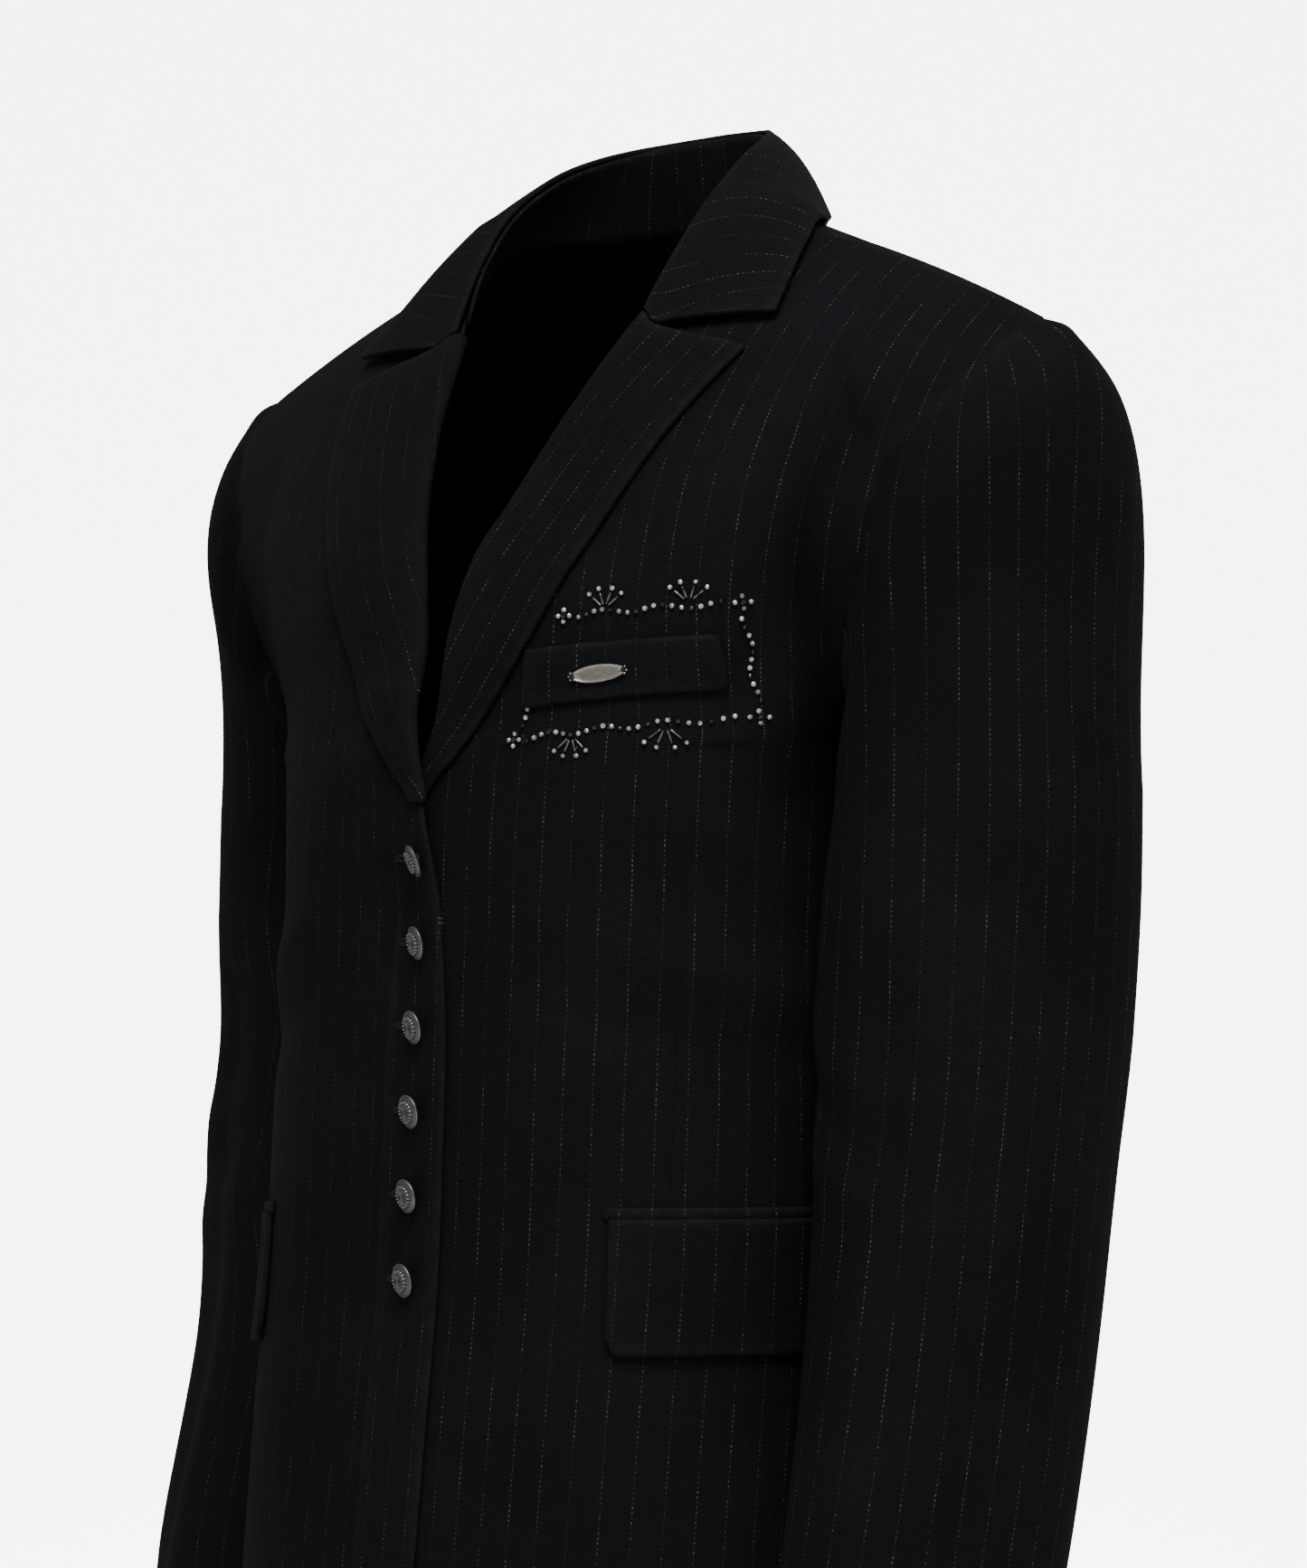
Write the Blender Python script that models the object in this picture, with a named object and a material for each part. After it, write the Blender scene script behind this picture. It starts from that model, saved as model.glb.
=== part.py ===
# Wool jacket: front and back panels, lapels, collar, two-piece sleeves, pockets and buttons.
# Metres, +Z up. The wearer faces -Y and +X is the wearer's left. The origin lies midway between the
# two neck points of the shoulders. Each piece is one wall of cloth, closed and apart from its neighbours.
import math
import bpy
import numpy as np

for old in list(bpy.data.objects):
    bpy.data.objects.remove(old, do_unlink=True)

# Driving dimensions
CLOTH = 0.0020
SEAM = 0.0004
HEM_Z = -0.660
UNDERARM_Z = -0.228
BUTTON_TOP_Z = -0.2707
BUTTON_PITCH = 0.0343
BUTTON_COUNT = 6
BUTTON_X = 0.0030
BUTTON_R = 0.0075
CUFF_Z = -0.622
SLEEVE_TURN = math.radians(20)
COLLAR_THICK = 0.0024
LAPEL_LIP = 0.0034
SHOULDER_CROWN = 0.0045

# Front edge, roll line and neck seam of one front, from the hem up: z, x, y
FRONT_EDGE = (
    (-0.660, -0.0180, -0.163),
    (-0.600, -0.0180, -0.158),
    (-0.560, -0.0180, -0.154),
    (-0.500, -0.0180, -0.147),
    (-0.440, -0.0180, -0.140),
    (-0.360, -0.0178, -0.136),
    (-0.336, -0.0168, -0.135),
    (-0.312, -0.0145, -0.134),
    (-0.290, -0.0118, -0.133),
    (-0.268, -0.0085, -0.1325),
    (-0.250, -0.0045, -0.131),
    (-0.235, 0.0005, -0.1295),
    (-0.226, 0.0034, -0.128),
    (-0.216, 0.0058, -0.126),
    (-0.178, 0.0108, -0.121),
    (-0.149, 0.0180, -0.1145),
    (-0.128, 0.0272, -0.1045),
    (-0.091, 0.0400, -0.0845),
    (-0.046, 0.0540, -0.0530),
    (-0.030, 0.0620, -0.040),
    (-0.012, 0.0695, -0.020),
    (0.000, 0.0745, 0.000),
)

# Torso below the underarm: z, half width, back depth, squareness of the front, of the back
TORSO = (
    (-0.660, 0.150, 0.135, 2.7, 2.3),
    (-0.560, 0.146, 0.128, 2.8, 2.3),
    (-0.440, 0.142, 0.115, 2.9, 2.3),
    (-0.360, 0.139, 0.107, 2.9, 2.3),
    (-0.285, 0.137, 0.105, 2.8, 2.3),
    (-0.228, 0.143, 0.115, 2.7, 2.3),
)

# Armhole from the underarm to the shoulder tip: x, y, z
ARMHOLE_FRONT = (
    (0.143, 0.000, -0.228),
    (0.145, -0.030, -0.222),
    (0.155, -0.060, -0.190),
    (0.173, -0.065, -0.146),
    (0.186, -0.055, -0.111),
    (0.208, -0.030, -0.080),
    (0.2185, 0.000, -0.055),
)
ARMHOLE_BACK = (
    (0.143, 0.000, -0.228),
    (0.148, 0.030, -0.223),
    (0.163, 0.058, -0.193),
    (0.182, 0.066, -0.150),
    (0.198, 0.058, -0.108),
    (0.2130, 0.033, -0.075),
    (0.2185, 0.000, -0.055),
)

# Centre back and back neck seam, from underarm level up: x, y, z
BACK_EDGE = (
    (0.000, 0.115, -0.228),
    (0.000, 0.121, -0.160),
    (0.000, 0.116, -0.090),
    (0.000, 0.100, -0.040),
    (0.000, 0.082, -0.008),
    (0.000, 0.064, 0.010),
    (0.030, 0.057, 0.009),
    (0.055, 0.039, 0.006),
    (0.070, 0.018, 0.003),
    (0.0745, 0.000, 0.000),
)

# Outer edge of the lapel: z, x
LAPEL_EDGE = (
    (-0.250, 0.0020),
    (-0.2375, 0.0105),
    (-0.219, 0.0255),
    (-0.197, 0.0416),
    (-0.175, 0.0556),
    (-0.132, 0.0800),
    (-0.096, 0.0964),
    (-0.050, 0.1180),
)

# Collar from its front end round to the centre back: fold x, y, z, then fall edge x, y
COLLAR = (
    (0.0530, -0.0570, -0.0440, 0.1170, -0.0445),
    (0.0545, -0.0525, -0.0350, 0.1155, -0.0380),
    (0.0580, -0.0390, -0.0145, 0.1105, -0.0240),
    (0.0600, -0.0170, 0.0120, 0.1010, -0.0010),
    (0.0555, 0.0090, 0.0315, 0.0865, 0.0210),
    (0.0455, 0.0310, 0.0415, 0.0665, 0.0430),
    (0.0270, 0.0500, 0.0475, 0.0385, 0.0650),
    (0.0000, 0.0570, 0.0495, 0.0000, 0.0740),
)

# Sleeve rings below the cap: z, centre x, centre y, half width, half depth
SLEEVE = (
    (-0.245, 0.1880, 0.0000, 0.0490, 0.0670),
    (-0.285, 0.1880, -0.0020, 0.0480, 0.0660),
    (-0.340, 0.1880, -0.0060, 0.0470, 0.0645),
    (-0.400, 0.1880, -0.0120, 0.0460, 0.0630),
    (-0.470, 0.1890, -0.0230, 0.0450, 0.0620),
    (-0.556, 0.1910, -0.0430, 0.0430, 0.0600),
    (-0.622, 0.1910, -0.0590, 0.0420, 0.0560),
)
# How much further back the right sleeve hangs: z, distance
RIGHT_BACK = ((-0.245, 0.011), (-0.285, 0.015), (-0.340, 0.019), (-0.400, 0.022), (-0.470, 0.021),
              (-0.556, 0.018), (-0.622, 0.016))


def smooth(keys, values):
    """A curve through a short table that never overshoots its values."""
    keys = np.asarray(keys, float)
    values = np.asarray(values, float)
    single = values.ndim == 1
    if single:
        values = values[:, None]
    step = np.diff(keys)[:, None]
    rise = np.diff(values, axis=0) / step
    slope = np.zeros_like(values)
    slope[0] = rise[0]
    slope[-1] = rise[-1]
    for i in range(1, len(keys) - 1):
        same = rise[i - 1] * rise[i] > 0
        total = np.where(same, rise[i - 1] + rise[i], 1.0)
        slope[i] = np.where(same, 2 * rise[i - 1] * rise[i] / total, 0.0)

    def at(q):
        q = np.clip(np.asarray(q, float), keys[0], keys[-1])
        i = np.clip(np.searchsorted(keys, q, side="right") - 1, 0, len(keys) - 2)
        h = keys[i + 1] - keys[i]
        t = ((q - keys[i]) / h)[..., None]
        h = h[..., None]
        out = (
            (1 + 2 * t) * (1 - t) ** 2 * values[i]
            + t * (1 - t) ** 2 * h * slope[i]
            + t * t * (3 - 2 * t) * values[i + 1]
            + t * t * (t - 1) * h * slope[i + 1]
        )
        return out[..., 0] if single else out

    return at


def by_length(points):
    """A smooth path through points, from 0 at its start to 1 at its end."""
    points = np.asarray(points, float)
    run = np.concatenate([[0], np.cumsum(np.linalg.norm(np.diff(points, axis=0), axis=1))])
    return smooth(run / run[-1], points)


def step_up(q, lo, hi):
    t = np.clip((np.asarray(q, float) - lo) / (hi - lo), 0, 1)
    return t * t * (3 - 2 * t)


front_edge_at = smooth([r[0] for r in FRONT_EDGE], [(r[1], r[2], r[0]) for r in FRONT_EDGE])
torso_at = smooth([r[0] for r in TORSO], [r[1:] for r in TORSO])
armhole_front_at = by_length(ARMHOLE_FRONT)
armhole_back_at = by_length(ARMHOLE_BACK)
back_edge_at = by_length(BACK_EDGE)
lapel_edge_at = smooth([r[0] for r in LAPEL_EDGE], [r[1] for r in LAPEL_EDGE])
sleeve_left_at = smooth([-r[0] for r in SLEEVE], [r[1:] for r in SLEEVE])
sleeve_right_at = smooth(
    [-r[0] for r in SLEEVE],
    [(r[1], r[2] + b[1], r[3], r[4]) for r, b in zip(SLEEVE, RIGHT_BACK)],
)

rise_z = np.linspace(UNDERARM_Z, 0, 400)
rise_points = front_edge_at(rise_z)
rise_run = np.concatenate([[0], np.cumsum(np.linalg.norm(np.diff(rise_points, axis=0), axis=1))])
RISE = rise_run[-1]


def dense_row(left, right, squareness, bulge=0.0, open_end=0.0, crown=0.0):
    """One level row of a panel, from its centre edge round to its side, as a dense line."""
    start = max(left[0], 0.0)
    reach = right[0] - start
    back = min(1.0, (start - left[0]) / reach)
    first = -math.asin(back ** (squareness / 2))
    turn = np.linspace(first, math.pi / 2, 240)
    across = np.sign(np.sin(turn)) * np.abs(np.sin(turn)) ** (2 / squareness)
    depth = np.abs(np.cos(turn)) ** (2 / squareness)
    inside = np.clip(across, 0, 1)
    hump = 4 * inside * (1 - inside)
    depth = depth * (1 - open_end) + (1 - inside**2.6) * open_end
    x = start + reach * across
    y = right[1] + (left[1] - right[1]) * depth + bulge * hump
    z = left[2] + (right[2] - left[2]) * inside + crown * hump
    return np.stack([x, y, z], -1)


def front_row(h):
    """Height h is in metres from the underarm: below it down the side seam, above it up the armhole."""
    if h <= 0:
        z = UNDERARM_Z + h
        width, _, square, _ = torso_at(z)
        left = front_edge_at(z)
        return dense_row(left, (width, 0.0, z), square)
    part = min(h / RISE, 1.0)
    left = front_edge_at(np.interp(part * RISE, rise_run, rise_z))
    right = armhole_front_at(part)
    square = 2.7 - 0.5 * step_up(part, 0, 0.5)
    bulge = -0.009 * math.sin(math.pi * part) ** 2
    return dense_row(left, right, square, bulge, step_up(part, 0, 0.35), SHOULDER_CROWN * part**4)


def back_row(h):
    if h <= 0:
        z = UNDERARM_Z + h
        width, depth, _, square = torso_at(z)
        return dense_row((0.0, depth, z), (width, 0.0, z), square)
    part = min(h / RISE, 1.0)
    left = back_edge_at(part)
    right = armhole_back_at(part)
    bulge = 0.013 * math.sin(math.pi * part) ** 2
    return dense_row(left, right, 2.5, bulge, step_up(part, 0, 0.35), SHOULDER_CROWN * part**4)


def along(line, run):
    """Points at distances along a line, carried on straight past its start."""
    gone = np.concatenate([[0], np.cumsum(np.linalg.norm(np.diff(line, axis=0), axis=1))])
    run = np.asarray(run, float)
    out = np.stack([np.interp(run, gone, line[:, k]) for k in range(3)], -1)
    way = (line[3] - line[0]) / np.linalg.norm(line[3] - line[0])
    return out + np.minimum(run, 0)[..., None] * way


def row_length(line):
    return float(np.linalg.norm(np.diff(line, axis=0), axis=1).sum())


# Chest folds beside the armhole: z, x of the trough, depth
FOLD = smooth(
    [-0.225, -0.200, -0.180, -0.140, -0.105, -0.080],
    [(0.138, 0), (0.143, 0.003), (0.150, 0.004), (0.152, 0.004), (0.156, 0.003), (0.160, 0)],
)


def front_lift(over, p):
    """How far a front stands off its base form: the overlap of the two fronts and the chest folds."""
    x = p[..., 0]
    z = p[..., 2]
    near = (1 - step_up(x, 0.022, 0.055)) * (1 - step_up(z, -0.214, -0.180))
    if over:
        pass_over = step_up(z, -0.295, -0.250)
        lift = near * (0.0013 + 0.0052 * pass_over)
    else:
        lift = -0.0013 * near
    trough = FOLD(z)
    fold = -trough[..., 1] * np.exp(-(((x - trough[..., 0]) / 0.008) ** 2))
    fold += 0.6 * trough[..., 1] * np.exp(-(((x - trough[..., 0] + 0.017) / 0.009) ** 2))
    drag = 0.0022 * np.exp(-(((z + 0.300 + 0.5 * (x - 0.08)) / 0.012) ** 2)) * step_up(x, 0.03, 0.09)
    drag -= 0.0020 * np.exp(-(((z + 0.335 + 0.35 * (x - 0.08)) / 0.011) ** 2)) * step_up(x, 0.04, 0.1)
    return lift + fold + drag * front_weight(p)


def front_weight(p):
    """1 on the front of the body, down to 0 at the side seam."""
    return step_up(-p[..., 1], 0.01, 0.06)


def base_front(h, run):
    return along(front_row(h), run)


def surface_normal(point_at, h, run, away):
    """Unit normal of a surface given by height and run, on the side away from a middle line."""
    e = 0.0006
    a = point_at(h, run + e) - point_at(h, run - e)
    hi = min(h + e, RISE)
    b = point_at(hi, run) - point_at(hi - 2 * e, run)
    n = np.cross(a, b)
    n /= np.linalg.norm(n, axis=-1, keepdims=True) + 1e-12
    p = point_at(h, run)
    side = np.sign(((p - away) * n).sum(-1, keepdims=True))
    return n * np.where(side == 0, 1, side)


def middle_for(h):
    """A place inside the body, near the height of a row."""
    return np.array([0.05, 0.0, min(UNDERARM_Z + h * 0.3, -0.15)])


def front_mid(over, h, run):
    run = np.asarray(run, float)
    p = base_front(h, run)
    n = surface_normal(base_front, h, run, middle_for(h))
    return p + n * front_lift(over, p)[..., None]


def front_frame(over, h, run):
    """Points on a front and the way out of it, for one row and distances along it."""
    run = np.asarray(run, float)

    def point_at(level, place):
        return front_mid(over, level, place)

    return point_at(h, run), surface_normal(point_at, h, run, middle_for(h))


def base_back(h, run):
    return along(back_row(h), run)


def back_frame(h, run):
    run = np.asarray(run, float)
    return base_back(h, run), surface_normal(base_back, h, run, middle_for(h))


def find_h(row, edge_key):
    """The height whose row meets a condition, by halving."""
    lo = 0.0
    hi = RISE
    for _ in range(40):
        mid = (lo + hi) / 2
        if edge_key(row(mid)):
            lo = mid
        else:
            hi = mid
    return (lo + hi) / 2


def row_run_at_x(line, x):
    gone = np.concatenate([[0], np.cumsum(np.linalg.norm(np.diff(line, axis=0), axis=1))])
    return float(np.interp(x, line[:, 0], gone))


def on_shoulder(x, y):
    """Point and normal on the upper body over a place in plan."""
    if y <= 0:
        def lower(line):
            k = row_run_at_x(line, x)
            return along(line, [k])[0][1] < y
        h = find_h(front_row, lower)
        line = front_row(h)
        p, n = front_frame(False, h, [row_run_at_x(line, x)])
    else:
        def lower(line):
            k = row_run_at_x(line, x)
            return along(line, [k])[0][1] > y
        h = find_h(back_row, lower)
        line = back_row(h)
        p, n = back_frame(h, [row_run_at_x(line, x)])
    return p[0], n[0]


# Sleeve: one path from the armhole down for each place round it
def armhole_loop(turn):
    """Places round the armhole: 0 at the shoulder tip, a half turn at the underarm, front first."""
    turn = np.mod(np.asarray(turn, float), 2 * math.pi)
    front = armhole_front_at(1 - np.clip(turn / math.pi, 0, 1))
    back = armhole_back_at(np.clip(turn / math.pi - 1, 0, 1))
    return np.where((turn <= math.pi)[..., None], front, back)


def torso_half_width(y, z):
    width, depth, square_f, square_b = np.moveaxis(torso_at(np.minimum(z, UNDERARM_Z)), -1, 0)
    front = -front_edge_at(np.minimum(z, UNDERARM_Z))[..., 1]
    deep = np.where(y < 0, front, depth)
    square = np.where(y < 0, square_f, square_b)
    t = np.clip(np.abs(y) / deep, 0, 0.999)
    return width * (1 - t**square) ** (1 / square)


def sleeve_ring(axis_at, turn, z):
    cx, cy, half, deep = np.moveaxis(axis_at(-z), -1, 0)
    out = np.cos(turn)
    fore = np.sin(turn)
    out = np.sign(out) * np.abs(out) ** 0.92
    fore = np.sign(fore) * np.abs(fore) ** 0.92
    c = math.cos(SLEEVE_TURN)
    s = math.sin(SLEEVE_TURN)
    x = cx + half * out * c - deep * fore * s
    y = cy - half * out * s - deep * fore * c
    return np.stack([x, y, z + 0 * x], -1)


def sleeve_fold(turn, z):
    """Folds of the sleeve: soft drags across the inner elbow and one long fold down the outside."""
    a = np.sin(turn)
    b = np.cos(turn)
    out = 0.0026 * np.exp(-(((z + 0.352 + 0.030 * b) / 0.010) ** 2)) * step_up(a, -0.2, 0.9)
    out -= 0.0030 * np.exp(-(((z + 0.376 + 0.034 * b) / 0.011) ** 2)) * step_up(a, -0.2, 0.9)
    out += 0.0024 * np.exp(-(((z + 0.402 + 0.026 * b) / 0.011) ** 2)) * step_up(a, 0.0, 0.9)
    fold_turn = 0.55 + 1.2 * (z + 0.40)
    down = step_up(-z, 0.27, 0.36) * (1 - step_up(-z, 0.56, 0.61))
    out += 0.0030 * np.exp(-(((turn - fold_turn) / 0.16) ** 2)) * down
    out -= 0.0028 * np.exp(-(((turn - fold_turn - 0.42) / 0.18) ** 2)) * down
    return out


CAP_Z = -0.245


def sleeve_mid(axis_at, turn, q):
    """q from 0 at the armhole to 1 at the cap's end, then on to 2 at the cuff."""
    turn = np.asarray(turn, float)
    wrapped = np.mod(turn, 2 * math.pi)
    q = np.asarray(q, float) + 0 * turn
    low = (1 - np.cos(wrapped)) / 2
    start = armhole_loop(turn).copy()
    start[..., 0] += 0.0016 + 0.0018 * low**3
    ring = sleeve_ring(axis_at, turn, np.full_like(turn, CAP_Z))
    centre = axis_at(-CAP_Z)[:2]
    flat = ring[..., :2] - centre
    flat /= np.linalg.norm(flat, axis=-1, keepdims=True)
    high = 1 - low
    drop = np.linalg.norm(ring - start, axis=-1)
    behind = np.clip(-np.sin(wrapped), 0, 1)
    leave = np.zeros_like(start)
    leave[..., 0] = 0.105 * high**1.3 + 0.020 * np.sin(wrapped) ** 2
    leave[..., 1] = flat[..., 1] * 0.035 * np.sin(wrapped) ** 2 + 0.055 * behind * high
    leave[..., 2] = 0.045 * high**2 - 0.85 * drop * low**0.8
    arrive = np.zeros_like(start)
    arrive[..., 2] = -drop * (0.55 + 0.75 * high)
    t = np.clip(q, 0, 1)[..., None]
    cap = (
        (1 + 2 * t) * (1 - t) ** 2 * start
        + t * (1 - t) ** 2 * leave
        + t * t * (3 - 2 * t) * ring
        + t * t * (t - 1) * arrive
    )
    z = CAP_Z + (CUFF_Z - CAP_Z) * np.clip(q - 1, 0, 1)
    tube = sleeve_ring(axis_at, turn, z)
    p = np.where((q <= 1)[..., None], cap, tube)
    signed = np.where(wrapped > math.pi, wrapped - 2 * math.pi, wrapped)
    lift = sleeve_fold(signed, p[..., 2]) * np.where(q > 1, 1, 0)
    p[..., :2] += flat * lift[..., None]
    clear = 0.0038 + 0.0060 * step_up(-p[..., 2], 0.37, 0.41)
    inner = torso_half_width(p[..., 1], p[..., 2]) + clear
    below = step_up(-p[..., 2], 0.185, 0.225)
    inner = inner - 0.030 * (1 - below)
    gap = p[..., 0] - inner
    p[..., 0] = inner + 0.5 * (gap + np.sqrt(gap**2 + 0.004**2 * below))
    return p


# Solids
jacket = bpy.data.collections.new("wool_jacket")
bpy.context.scene.collection.children.link(jacket)


def material(name, colour, rough, metal=0.0):
    m = bpy.data.materials.new(name)
    m.use_nodes = True
    shader = m.node_tree.nodes["Principled BSDF"]
    shader.inputs["Base Color"].default_value = (*colour, 1)
    shader.inputs["Roughness"].default_value = rough
    shader.inputs["Metallic"].default_value = metal
    return m


def add(name, points, faces, slot, look, side=1):
    """A closed mesh turned outward. Side -1 is the mirror image, on the wearer's right."""
    points = np.array(points, float)
    points[:, 0] *= side
    volume = 0.0
    for f in faces:
        a = points[f[0]]
        for k in range(1, len(f) - 1):
            volume += np.dot(a, np.cross(points[f[k]], points[f[k + 1]]))
    if volume < 0:
        faces = [tuple(reversed(f)) for f in faces]
    mesh = bpy.data.meshes.new(name)
    mesh.from_pydata([tuple(p) for p in points], [], faces)
    mesh.validate()
    mesh.materials.append(material(slot, *look))
    mesh.shade_smooth()
    ob = bpy.data.objects.new(name, mesh)
    jacket.objects.link(ob)
    return ob


def wall(name, outer, inner, slot, look, side=1):
    """A wall between two grids of the same size, closed round its rim."""
    rows, cols = outer.shape[:2]
    count = rows * cols
    points = np.concatenate([outer.reshape(-1, 3), inner.reshape(-1, 3)])
    faces = []
    end = cols - 1

    def outer_id(i, j):
        return i * cols + j

    def inner_id(i, j):
        return count + i * cols + j

    for i in range(rows - 1):
        for j in range(end):
            faces.append((outer_id(i, j), outer_id(i, j + 1), outer_id(i + 1, j + 1), outer_id(i + 1, j)))
            faces.append((inner_id(i, j), inner_id(i + 1, j), inner_id(i + 1, j + 1), inner_id(i, j + 1)))
        faces.append((outer_id(i, 0), outer_id(i + 1, 0), inner_id(i + 1, 0), inner_id(i, 0)))
        faces.append((outer_id(i, end), inner_id(i, end), inner_id(i + 1, end), outer_id(i + 1, end)))
    top = rows - 1
    for j in range(end):
        faces.append((outer_id(0, j), inner_id(0, j), inner_id(0, j + 1), outer_id(0, j + 1)))
        faces.append((outer_id(top, j), outer_id(top, j + 1), inner_id(top, j + 1), inner_id(top, j)))
    return add(name, points, faces, slot, look, side)


WOOL = ((0.012, 0.012, 0.013), 0.85)
METAL = ((0.55, 0.53, 0.50), 0.35, 1.0)


def heights(count_low, count_mid, count_high):
    low = np.linspace(HEM_Z - UNDERARM_Z + 0.0008, -0.085, count_low)
    mid = np.linspace(-0.085, 0, count_mid + 1)[1:]
    high = np.linspace(0, RISE - 0.0010, count_high + 1)[1:]
    return np.concatenate([low, mid, high])


def panel(name, frame_at, row, hs, count, slot, side, centre_seam):
    outer = []
    inner = []
    for h in hs:
        length = row_length(row(h))
        run = np.linspace(SEAM if centre_seam else 0.0, length - SEAM, count)
        p, n = frame_at(h, run)
        outer.append(p + n * CLOTH / 2)
        inner.append(p - n * CLOTH / 2)
    outer = np.array(outer)
    inner = np.array(inner)
    if centre_seam:
        for grid in (outer, inner):
            grid[..., 0] = np.maximum(grid[..., 0], SEAM / 2)
            grid[-3:, :, 1] = np.maximum(grid[-3:, :, 1], SEAM)
    else:
        for grid in (outer, inner):
            grid[-3:, :, 1] = np.minimum(grid[-3:, :, 1], -SEAM)
    return wall(name, outer, inner, slot, WOOL, side)


FRONT_ROWS = heights(9, 7, 13)
BACK_ROWS = heights(9, 3, 11)


def front_panel(name, over, side):
    def frame_at(h, run):
        return front_frame(over, h, run)
    panel(name, frame_at, front_row, FRONT_ROWS, 15, "wool_front", side, False)


front_panel("front_left", False, 1)
front_panel("front_right", True, -1)
panel("back_left", back_frame, back_row, BACK_ROWS, 11, "wool_back", 1, True)
panel("back_right", back_frame, back_row, BACK_ROWS, 11, "wool_back", -1, True)

# Lapel: level of its top seam and of its lowest point
GORGE_Z = -0.046
GORGE_H = float(np.interp(GORGE_Z, rise_z, rise_run))
LAPEL_START_Z = -0.243


def lapel_width(h):
    """Run from the roll line to the lapel's outer edge on one row."""
    line = front_row(h)
    gone = np.concatenate([[0], np.cumsum(np.linalg.norm(np.diff(line, axis=0), axis=1))])
    over = line[:, 0] - lapel_edge_at(line[:, 2])
    k = int(np.argmax(over > 0))
    t = over[k - 1] / (over[k - 1] - over[k]) if k else 0
    return max(float(gone[k - 1] + t * (gone[k] - gone[k - 1])) if k else 0.0, 0.006)


def lapel_drop(share):
    """How far the lapel's top edge dips at the notch, by share of its width."""
    return 0.0042 * step_up(share, 0.0, 0.15) * (1 - 0.9 * step_up(share, 0.25, 1.0))


def lapel_grid(over, hs, spans):
    """Outer and inner faces of a lapel: a lip round the front's edge, then the turned-out face."""
    outer = []
    inner = []
    for h in hs:
        width = lapel_width(h)
        grow = step_up(h, hs[0], hs[0] + 0.05)
        near_top = step_up(h, hs[-1] - 0.05, hs[-1])
        faces = [
            (-LAPEL_LIP, 0.0016, -0.0022, -0.0009),
            (-0.0028, 0.0031 + 0.0006 * grow, -0.0005, -0.0010),
            (-0.0005, 0.0040 + 0.0010 * grow, -0.0005, 0.0015),
            (0.0030, 0.0042 + 0.0014 * grow, 0.0030, 0.0019),
        ]
        for s in spans:
            run = 0.0030 + (width - 0.0030) * s
            top = 0.0042 + 0.0014 * grow * (1 - s) + 0.0002 * grow
            faces.append((run, top, run, 0.0018 + 0.0006 * grow * (1 - s)))
        top_line = []
        low_line = []
        for upper_run, upper, lower_run, lower in faces:
            hh = h - lapel_drop(max(upper_run, 0) / width) * near_top
            p, n = front_frame(over, hh, [upper_run])
            top_line.append(p[0] + n[0] * upper)
            p, n = front_frame(over, hh, [lower_run])
            low_line.append(p[0] + n[0] * lower)
        outer.append(top_line)
        inner.append(low_line)
    return np.array(outer), np.array(inner)


def lapel(name, over, side):
    start = UNDERARM_Z - LAPEL_START_Z
    hs = np.linspace(-start, GORGE_H - 0.0006, 14)
    outer, inner = lapel_grid(over, hs, (0.25, 0.5, 0.75, 1.0))
    wall(name, outer, inner, "wool_lapel", WOOL, side)


lapel("lapel_left", False, 1)
lapel("lapel_right", True, -1)


def collar_rows():
    """Fold and fall edge of the collar on one side, front end first."""
    table = np.array(COLLAR)
    run = np.concatenate([[0], np.cumsum(np.linalg.norm(np.diff(table[:, :3], axis=0), axis=1))])
    return smooth(run / run[-1], table)


collar_at = collar_rows()


def collar_section(t):
    """Key points of one collar section: the fold, the fall's crown and edge, and the way off the body."""
    x, y, z, ex, ey = collar_at(t)
    edge, up = on_shoulder(ex, ey)
    edge = edge + up * (0.0042 + 0.0010 * (1 - t))
    fold = np.array([x, y, z])
    if t < 0.5:
        rise = 0.0060 + 0.0050 * step_up(t, 0.0, 0.3)
    else:
        rise = 0.0110
    mid = 0.5 * (fold + edge)
    bow = mid + up * rise * 0.9
    return fold, bow, edge, up


def collar_path(t, count):
    """Middle line of the fall from the fold to the edge."""
    fold, bow, edge, up = collar_section(t)
    s = np.linspace(0, 1, count)[:, None]
    return (1 - s) ** 2 * fold + 2 * s * (1 - s) * bow + s * s * edge


NOTCH_RUN = 0.0125


def gorge_line(count):
    """Front end of the collar: along the top of the lapel to the notch, then out to the corner."""
    fold, bow, edge, up = collar_section(0.0)
    line = []
    for s in np.linspace(0, 1, count):
        if s < 0.3:
            share = s / 0.3
            drop = 0.0042 * step_up(share, 0, 0.8)
            p, n = front_frame(False, GORGE_H + 0.0012 - drop, [NOTCH_RUN * share])
            line.append(p[0] + n[0] * 0.0046)
        else:
            share = (s - 0.3) / 0.7
            p, n = front_frame(False, GORGE_H + 0.0012 - 0.0042, [NOTCH_RUN])
            notch = p[0] + n[0] * 0.0046
            line.append(notch + (edge - notch) * share + n[0] * 0.0012 * math.sin(math.pi * share))
    return np.array(line)


def collar_fall_grid(stations, count):
    rows = []
    ts = np.linspace(0, 1, stations)
    for t in ts:
        path = collar_path(t, count)
        blend = step_up(t, 0.0, 0.22)
        if blend < 1:
            path = gorge_line(count) * (1 - blend) + path * blend
        rows.append(path)
    rows = np.array(rows)
    mirror = rows[::-1][1:] * np.array([-1, 1, 1])
    return np.concatenate([rows, mirror])


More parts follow.
